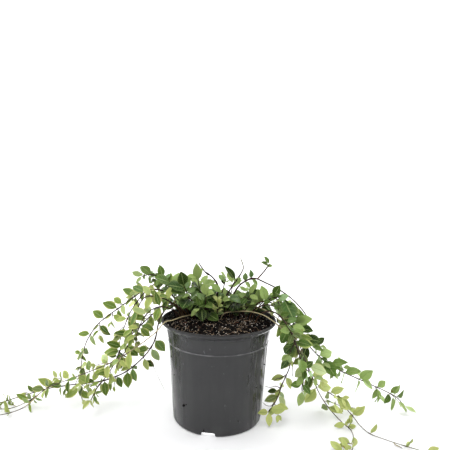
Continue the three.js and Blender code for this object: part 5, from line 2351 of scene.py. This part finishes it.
@dataclass
class LeafBlade:
    """The leaf that every leaf is copied from: a short stalk and a pointed oval blade, one unit long."""

    shares: tuple[float, ...] = (0.0, 0.1, 0.17, 0.27, 0.41, 0.56, 0.71, 0.84, 0.94, 1.0)
    widths: tuple[float, ...] = (0.07, 0.08, 0.34, 0.74, 0.98, 1.0, 0.84, 0.53, 0.23, 0.0)
    columns: int = 4

    def master(self) -> Master:
        """Models the leaf: a grid whose rows are moved and narrowed, then thickened.

        Returns:
            The master leaf.
        """
        rows = len(self.shares) - 1
        deselect()
        bpy.ops.mesh.primitive_grid_add(x_subdivisions=rows, y_subdivisions=self.columns, size=2.0)
        piece = bpy.context.object
        for i, (share, width) in enumerate(zip(self.shares, self.widths)):
            place = -1 + 2 * i / rows
            choose(piece, lambda co: abs(co.x - place) < 0.01 and abs(co.z) < 0.5)
            bpy.ops.transform.resize(value=(1.0, max(width, 1e-4), 1.0), center_override=(place, 0.0, 0.0))
            bpy.ops.transform.translate(value=(share - place, 0.0, 1.0))
        bpy.ops.mesh.select_all(action="SELECT")
        bpy.ops.transform.translate(value=(0.0, 0.0, -1.0))
        bpy.ops.mesh.remove_doubles(threshold=0.001)
        bpy.ops.mesh.normals_make_consistent(inside=False)
        bpy.ops.object.mode_set(mode="OBJECT")
        apply_modifier(piece, "SOLIDIFY", thickness=1.0, offset=0.0)
        return Master(piece)


@dataclass
class LeafShapes:
    """Shapes copies of the master leaf.

    Thicknesses are in millimetres. crown and wave are shares of the blade's half width, and blade_start and
    blade_ease of its length. fold_ease is how much steeper the fold is at the midrib than at the edge.
    """

    blade: LeafBlade = field(default_factory=LeafBlade)
    thickness: float = 0.5
    edge_thickness: float = 0.3
    blade_start: float = 0.1
    blade_ease: float = 0.2
    fold_ease: float = 0.25
    crown: float = 0.11
    wave: float = 0.05
    wave_turns: float = 9.0
    wave_offset: float = 1.4

    def __post_init__(self) -> None:
        """Models the master and reads where its points lie on the leaf."""
        self.master = self.blade.master()
        points = self.master.points
        self.share = points[:, 0]
        width = np.interp(self.share, self.blade.shares, self.blade.widths)
        self.width = points[:, 1]
        self.across = np.where(width > 0.01, points[:, 1] / np.maximum(width, 0.01), 0.0)
        self.side = np.sign(points[:, 2]) * 0.5

    def add(
        self, heap: Heap, leaf: Leaf, shift: np.ndarray, look: dict[str, float], habit: tuple[float, ...]
    ) -> None:
        """Adds one leaf to a stem.

        Args:
            heap: the stem's mesh.
            leaf: the leaf's place and size.
            shift: how far the fine stalk lies from the coarse one there.
            look: the numbers that the material reads, one for the whole leaf.
            habit: how wide it is beside a usual leaf, how much it folds, and where its edge's waves start.
        """
        breadth, fold, phase = habit
        half = leaf.half * breadth
        x = self.share * leaf.length
        y = self.width * half
        blade = np.clip((self.share - self.blade_start) / self.blade_ease, 0.0, 1.0)
        flat = np.abs(self.across)
        z = BLADE_FOLD * fold * np.abs(y) * (1 + self.fold_ease - self.fold_ease * flat)
        z += self.crown * half * flat * (1 - flat) * 2 * blade
        z -= leaf.curl * leaf.length * self.share**2
        waves = np.sin(self.wave_turns * self.share + phase + self.wave_offset * np.sign(self.across))
        z += self.wave * half * flat**2 * waves * blade
        z += self.side * (self.thickness + (self.edge_thickness - self.thickness) * flat)
        places = leaf.root + shift + x[:, None] * leaf.along + y[:, None] * leaf.across
        places += z[:, None] * leaf.normal
        places[:, 2] = np.maximum(places[:, 2], GROUND_GAP)
        under = (self.side < 0).astype(float)
        heap.add(places, self.master.faces, 0, across=self.across, share=self.share, under=under, **look)


@dataclass
class Stalk:
    """A round stalk along a fine route, with a knot at each pair of leaves and a narrow tip.

    Lengths are in millimetres. knot and tip_width are shares of the stalk's radius.
    """

    sides: int = 8
    step: float = 5.0
    knot: float = 0.45
    knot_length: float = 1.6
    tip_width: float = 0.55

    def add(self, heap: Heap, stem: GrownStem) -> Route:
        """Adds a stem's stalk.

        Args:
            heap: the stem's mesh.
            stem: the stem.

        Returns:
            The fine route that the stalk follows.
        """
        route = Route(stem.route.places, self.step)
        plan = stem.plan
        lengths = np.array(route.lengths)
        shares = lengths / route.total
        scale = route.total / stem.route.total
        knots = np.zeros(len(lengths))
        for leaf in stem.leaves:
            away = (lengths - leaf.share * stem.route.total * scale) / self.knot_length
            knots = np.maximum(knots, np.exp(-away * away))
        if not stem.leaves:
            knots = np.exp(-(((lengths % plan.gap) - plan.gap / 2) / self.knot_length) ** 2)
        radii = plan.stoutness * (plan.root + (plan.tip - plan.root) * shares + self.knot * knots * plan.root)
        radii[-1] *= self.tip_width
        curve = bpy.data.curves.new("stalk", "CURVE")
        curve.dimensions = "3D"
        curve.bevel_depth = MM
        curve.bevel_resolution = (self.sides - 4) // 2
        curve.use_fill_caps = True
        spline = curve.splines.new("POLY")
        spline.points.add(len(lengths) - 1)
        for point, place, radius in zip(spline.points, route.places, radii):
            x, y, z = (float(value) for value in place)
            point.co = (x * MM, y * MM, max(z, radius + GROUND_GAP) * MM, 1.0)
            point.radius = radius
        piece = bpy.data.objects.new("stalk", curve)
        bpy.context.scene.collection.objects.link(piece)
        activate(piece)
        bpy.ops.object.convert(target="MESH")
        master = Master(bpy.context.object)
        places = np.array(route.places)
        points = master.points / MM
        nearest = np.argmin(((points[:, None, :] - places[None, :, :]) ** 2).sum(2), axis=1)
        heap.add(points, master.faces, 1, share=shares[nearest], knot=knots[nearest])
        return route


@dataclass
class LeafyStems:
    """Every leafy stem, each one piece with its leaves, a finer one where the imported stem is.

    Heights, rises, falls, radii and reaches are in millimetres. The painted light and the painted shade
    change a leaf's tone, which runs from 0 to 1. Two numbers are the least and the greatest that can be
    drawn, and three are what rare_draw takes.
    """

    shapes: LeafShapes = field(default_factory=LeafShapes)
    stalk: Stalk = field(default_factory=Stalk)
    seed: int = 20
    tone_middle: float = 0.49
    tone_spread: float = 0.38
    # Painted light and shade by place: crown leaves lighter on top and darker low down; at the right, leaves
    # under the rim darker and those that hang free lighter
    crown_middle: float = 166.0
    crown_rise: float = 22.0
    crown_painted_light: float = 0.3
    crown_reach: float = 84.0
    shade_height: float = 120.0
    shade_rise: float = 26.0
    shade_radius: float = 112.0
    shade_reach: float = 34.0
    shade: float = 0.45
    hanging_height: float = 105.0
    hanging_fall: float = 50.0
    hanging_painted_light: float = 0.4
    side_painted_light: float = 0.12
    youth_start: float = 0.72
    tip_youth: float = 0.55
    last_youth: float = 0.25
    most_youth: float = 0.85
    # How many leaves get the painted bluish sheen, and how far to the right it reaches
    cools: Span = (-1.1, 1.0)
    cool_reach: float = 140.0
    slimness: float = 0.89
    breadths: Span = (0.84, 1.1)
    folds: Draw = (0.7, 2.5, 2.2)
    smooth_angle: float = 50.0

    def greens(self) -> dict[Foliage, bpy.types.Material]:
        """Makes the leaves' materials.

        Returns:
            The materials, by the kind of foliage.
        """
        fresh = LeafGreen(
            "leaf_fresh", (0.045, 0.095, 0.01), (0.185, 0.285, 0.044), (0.43, 0.5, 0.14), (0.43, 0.48, 0.16),
            (0.58, 0.57, 0.2), margin_share=0.7,
        )
        bright = LeafGreen(
            "leaf_bright", (0.04, 0.08, 0.01), (0.23, 0.32, 0.06), (0.5, 0.57, 0.18), (0.54, 0.58, 0.2),
            (0.54, 0.55, 0.2), margin_share=0.55,
        )
        mixed = LeafGreen(
            "leaf_mixed", (0.012, 0.034, 0.003), (0.095, 0.18, 0.024), (0.31, 0.44, 0.13), (0.34, 0.44, 0.15),
            (0.28, 0.34, 0.1),
        )
        dark = LeafGreen(
            "leaf_dark", (0.007, 0.019, 0.001), (0.05, 0.1, 0.012), (0.27, 0.385, 0.11), (0.32, 0.42, 0.13),
            (0.24, 0.32, 0.1), specular=0.11,
        )
        young = LeafGreen(
            "leaf_young", (0.2, 0.28, 0.06), (0.34, 0.43, 0.11), (0.5, 0.57, 0.19), (0.62, 0.66, 0.26),
            (0.6, 0.6, 0.26),
        )
        finishes = {
            Foliage.FRESH: fresh, Foliage.BRIGHT: bright, Foliage.MIXED: mixed, Foliage.DARK: dark,
            Foliage.YOUNG: young,
        }
        return {kind: finish.material() for kind, finish in finishes.items()}

    def barks(self) -> dict[Bark, bpy.types.Material]:
        """Makes the stalks' materials.

        Returns:
            The materials, by the kind of bark.
        """
        green = StalkSkin("stalk_green", (0.13, 0.07, 0.035), (0.045, 0.021, 0.017), (0.1, 0.1, 0.03))
        runner = StalkSkin(
            "stalk_runner", (0.5, 0.43, 0.25), (0.07, 0.035, 0.026), (0.13, 0.13, 0.05), root_hold=0.3,
            root_end=0.5,
        )
        dead = StalkSkin("stalk_dead", (0.05, 0.03, 0.02), (0.03, 0.018, 0.012), (0.045, 0.032, 0.024))
        finishes = {Bark.GREEN: green, Bark.RUNNER: runner, Bark.DEAD: dead}
        return {kind: finish.material() for kind, finish in finishes.items()}

    def build(self) -> list[bpy.types.Object]:
        """Grows the plant and makes one piece for each packed stem, and one for the low shoots.

        Returns:
            The pieces.
        """
        growth = Growth(STEMS)
        grown = growth.grow()
        bare = growth.grow_bare_twigs(BARE_TWIGS)
        growth.grow_features(FEATURES)
        low = growth.grow_low_shoots(low_shoots())
        shoots = {stem.plan.name: growth.grow_side_shoots(stem) for stem in grown}
        greens = self.greens()
        barks = self.barks()
        pieces = []
        for stem in grown:
            if stem.plan.twig_of:
                continue
            twigs = [other for other in grown if other.plan.twig_of == stem.plan.name]
            twigs += [shoot for member in [stem, *twigs] for shoot in shoots[member.plan.name]]
            twigs += [twig for twig in bare if twig.plan.twig_of == stem.plan.name]
            heap = Heap()
            for member in [stem, *twigs]:
                self.add_stem(heap, member)
            name = "stem_" + stem.plan.name
            piece = heap.piece("leafy_" + name, [greens[stem.plan.foliage], barks[stem.plan.bark]])
            activate(piece)
            bpy.ops.object.shade_smooth_by_angle(angle=math.radians(self.smooth_angle))
            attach(piece, BODY)
            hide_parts(name)
            LOG.info("%s: %d leaves", name, sum(len(member.leaves) for member in [stem, *twigs]))
            pieces.append(piece)
        pieces.append(self.low_piece(low, [greens[Foliage.DARK], barks[Bark.GREEN]]))
        return pieces

    def low_piece(
        self, low: Sequence[GrownStem], materials: Sequence[bpy.types.Material]
    ) -> bpy.types.Object:
        """Makes the low shoots of the crown as one piece.

        Args:
            low: the shoots.
            materials: the leaves' and the stalks' materials.

        Returns:
            The piece.
        """
        heap = Heap()
        for stem in low:
            self.add_stem(heap, stem)
        piece = heap.piece("crown_low_shoots", materials)
        activate(piece)
        bpy.ops.object.shade_smooth_by_angle(angle=math.radians(self.smooth_angle))
        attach(piece, BODY)
        LOG.info("low shoots: %d leaves", sum(len(stem.leaves) for stem in low))
        return piece

    def look_of(self, leaf: Leaf, plan: StemPlan, random: np.random.Generator) -> dict[str, float]:
        """Draws the numbers that a leaf's finish reads.

        Args:
            leaf: the leaf.
            plan: its stem's plan.
            random: where the draws come from.

        Returns:
            How bright its green is with painted light and shade, how young and spoilt, and how much painted
            sheen it has.
        """
        tip = max(0.0, (leaf.share - self.youth_start) / (1 - self.youth_start))
        youth = self.tip_youth * tip * tip + (self.last_youth if leaf.is_last else 0.0)
        # The tone gets painted light and shade for the leaf's place
        tone = random.normal(self.tone_middle, self.tone_spread) + self.painted_light_of(leaf, plan)
        return {
            "tone": float(np.clip(tone, 0.0, 1.0)),
            "youth": min(youth, self.most_youth),
            "spoil": random.uniform(),
            # A painted bluish sheen, a reflection of the white surroundings, on some leaves at the left and
            # middle
            "cool": max(0.0, random.uniform(*self.cools)) if leaf.root[0] < self.cool_reach else 0.0,
        }

    def painted_light_of(self, leaf: Leaf, plan: StemPlan) -> float:
        """How much painted light and shade a leaf's tone gets for its place.

        Leaves low in the crown and those that crowd below the rim at the right get painted shade. Those on
        top and those that hang free get painted light.

        Args:
            leaf: the leaf.
            plan: its stem's plan.

        Returns:
            What its tone gains from painted light, less painted shade.
        """
        x, y, z = (float(value) for value in leaf.point(leaf.length / 2, 0.0))
        radius = math.hypot(x, y)
        if radius < self.crown_reach:
            rise = float(np.clip((z - self.crown_middle) / self.crown_rise, -1.0, 1.0))
            return self.crown_painted_light * rise
        if plan.foliage not in (Foliage.BRIGHT, Foliage.MIXED) or x < 0:
            return 0.0
        up = (z - self.shade_height) / self.shade_rise
        out = (radius - self.shade_radius) / self.shade_reach
        hanging = float(np.clip((self.hanging_height - z) / self.hanging_fall, 0.0, 1.0))
        shaded = self.shade * math.exp(-(up**2 + out**2))
        return self.side_painted_light + self.hanging_painted_light * hanging - shaded

    def add_stem(self, heap: Heap, stem: GrownStem) -> None:
        """Adds one stem's stalk and leaves to a mesh.

        Args:
            heap: the mesh.
            stem: the stem.
        """
        route = self.stalk.add(heap, stem)
        places = np.array(route.places)
        random = np.random.default_rng(self.seed + stem.plan.seed)
        for leaf in stem.leaves:
            nearest = places[int(np.argmin(((places - leaf.root) ** 2).sum(1)))]
            toward = nearest - leaf.root
            _, tangent = stem.route.at(min(leaf.share * stem.route.total, stem.route.total - TIP_INSET))
            shift = toward - tangent * float(toward @ tangent)
            look = self.look_of(leaf, stem.plan, random)
            slimness = self.slimness if stem.plan.foliage in (Foliage.FRESH, Foliage.BRIGHT) else 1.0
            breadth = slimness * random.uniform(*self.breadths)
            fold = rare_draw(random, *self.folds)
            habit = (breadth, fold, random.uniform(0.0, 2 * math.pi))
            feature = leaf.feature
            if feature is not None:
                look.update(tone=feature.tone, youth=feature.youth, cool=feature.cool, spoil=0.0)
                habit = (feature.breadth, feature.fold, habit[2])
            self.shapes.add(heap, leaf, shift, look, habit)


@dataclass(frozen=True)
class SoftBox:
    """A square soft box, in metres and watts, and the place that it faces."""

    name: str
    place: Point
    size: float
    power: float
    target: Point = (0.0, 0.0, 0.12)

    def build(self) -> None:
        """Hangs it in its place."""
        light = bpy.data.lights.new(self.name, "AREA")
        light.size = self.size
        light.energy = self.power
        piece = bpy.data.objects.new(self.name, light)
        bpy.context.scene.collection.objects.link(piece)
        piece.location = self.place
        aim = Vector(self.target) - Vector(self.place)
        piece.rotation_mode = "QUATERNION"
        piece.rotation_quaternion = aim.to_track_quat("-Z", "Y")


@dataclass
class Studio:
    """A pale floor that sweeps up at the back, soft light from all round, and the camera.

    The camera's place is in millimetres, its pitch in degrees and its roll in radians. The floor's sizes are
    in metres.
    """

    camera_place: Point = (6.6, -640.0, 332.0)
    pitch: float = 4.0
    roll: float = 0.019
    lens: float = 34.8
    sensor: float = 36.0
    world_strength: float = 0.42
    floor_size: float = 12.0
    floor_back: float = 4.0
    sweep_height: float = 5.0
    sweep_radius: float = 2.0
    sweep_steps: int = 24
    boxes: tuple[SoftBox, ...] = (
        SoftBox("key", (-0.35, -0.9, 1.8), 1.2, 24.0),
        SoftBox("left_side", (-1.15, 0.5, 0.45), 1.2, 21.0),
        SoftBox("right_side", (1.15, 0.5, 0.45), 1.2, 21.0),
        SoftBox("under_foot", (-0.01, -0.0555, 0.0057), 0.018, 0.006, (-0.0112, -0.0635, 0.0)),
        SoftBox("left_wash", (-1.6, 2.2, 2.4), 1.2, 90.0, (-0.6, 4.0, 1.2)),
        SoftBox("right_wash", (1.6, 2.2, 2.4), 1.2, 90.0, (0.6, 4.0, 1.2)),
    )

    def build(self) -> None:
        """Makes the camera, the floor and the lights."""
        self.make_camera()
        self.make_floor()
        self.light_world()
        for box in self.boxes:
            box.build()
        bpy.context.scene.view_settings.view_transform = "Standard"

    def make_camera(self) -> None:
        """Sets the camera where the photograph's was."""
        camera = bpy.data.cameras.new("camera")
        camera.lens = self.lens
        camera.sensor_width = self.sensor
        camera.clip_end = 100.0
        piece = bpy.data.objects.new("camera", camera)
        bpy.context.scene.collection.objects.link(piece)
        piece.rotation_mode = "XYZ"
        tilt = Vector((1.0, 0.0, 0.0))
        turn = Matrix.Rotation(math.radians(90 - self.pitch), 4, tilt) @ Matrix.Rotation(self.roll, 4, "Z")
        piece.matrix_world = Matrix.Translation(Vector(self.camera_place) * MM) @ turn
        bpy.context.scene.camera = piece

    def make_floor(self) -> None:
        """Makes the floor as one sheet that bends up at the back."""
        deselect()
        bpy.ops.mesh.primitive_plane_add(size=self.floor_size, location=(0.0, 0.0, 0.0))
        floor = bpy.context.object
        floor.name = "floor_sweep"
        edge = self.floor_size / 2
        choose(floor, lambda co: co.y > edge - 1.0)
        bpy.ops.transform.translate(value=(0.0, self.floor_back - edge, 0.0))
        bpy.ops.mesh.extrude_region_move(TRANSFORM_OT_translate={"value": (0.0, 0.0, self.sweep_height)})
        choose(floor, lambda co: abs(co.y - self.floor_back) < 0.01 and co.z < 0.01)
        bpy.ops.mesh.bevel(offset=self.sweep_radius, segments=self.sweep_steps, affect="EDGES")
        bpy.ops.object.mode_set(mode="OBJECT")
        floor.data.materials.append(PalePaper().material())
        activate(floor)
        bpy.ops.object.shade_smooth()

    def light_world(self) -> None:
        """Lights the scene evenly from all round."""
        world = bpy.data.worlds.new("soft_light")
        world.use_nodes = True
        background = world.node_tree.nodes["Background"]
        background.inputs["Color"].default_value = (1.0, 1.0, 1.0, 1.0)
        background.inputs["Strength"].default_value = self.world_strength
        bpy.context.scene.world = world


def main() -> None:
    """Builds the scene, piece by piece."""
    logging.basicConfig(level=logging.INFO, format="%(name)s: %(message)s")
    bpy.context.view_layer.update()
    Studio().build()
    LOG.info("camera, floor and lights made")
    pot = NurseryPot().build()
    LOG.info("%s: %d faces", pot.name, len(pot.data.polygons))
    soil = Soil().build()
    LOG.info("%s: %d faces", soil.name, len(soil.data.polygons))
    stems = LeafyStems().build()
    LOG.info("%d stems: %d faces", len(stems), sum(len(piece.data.polygons) for piece in stems))
    bpy.context.view_layer.update()


if __name__ == "__main__":
    main()
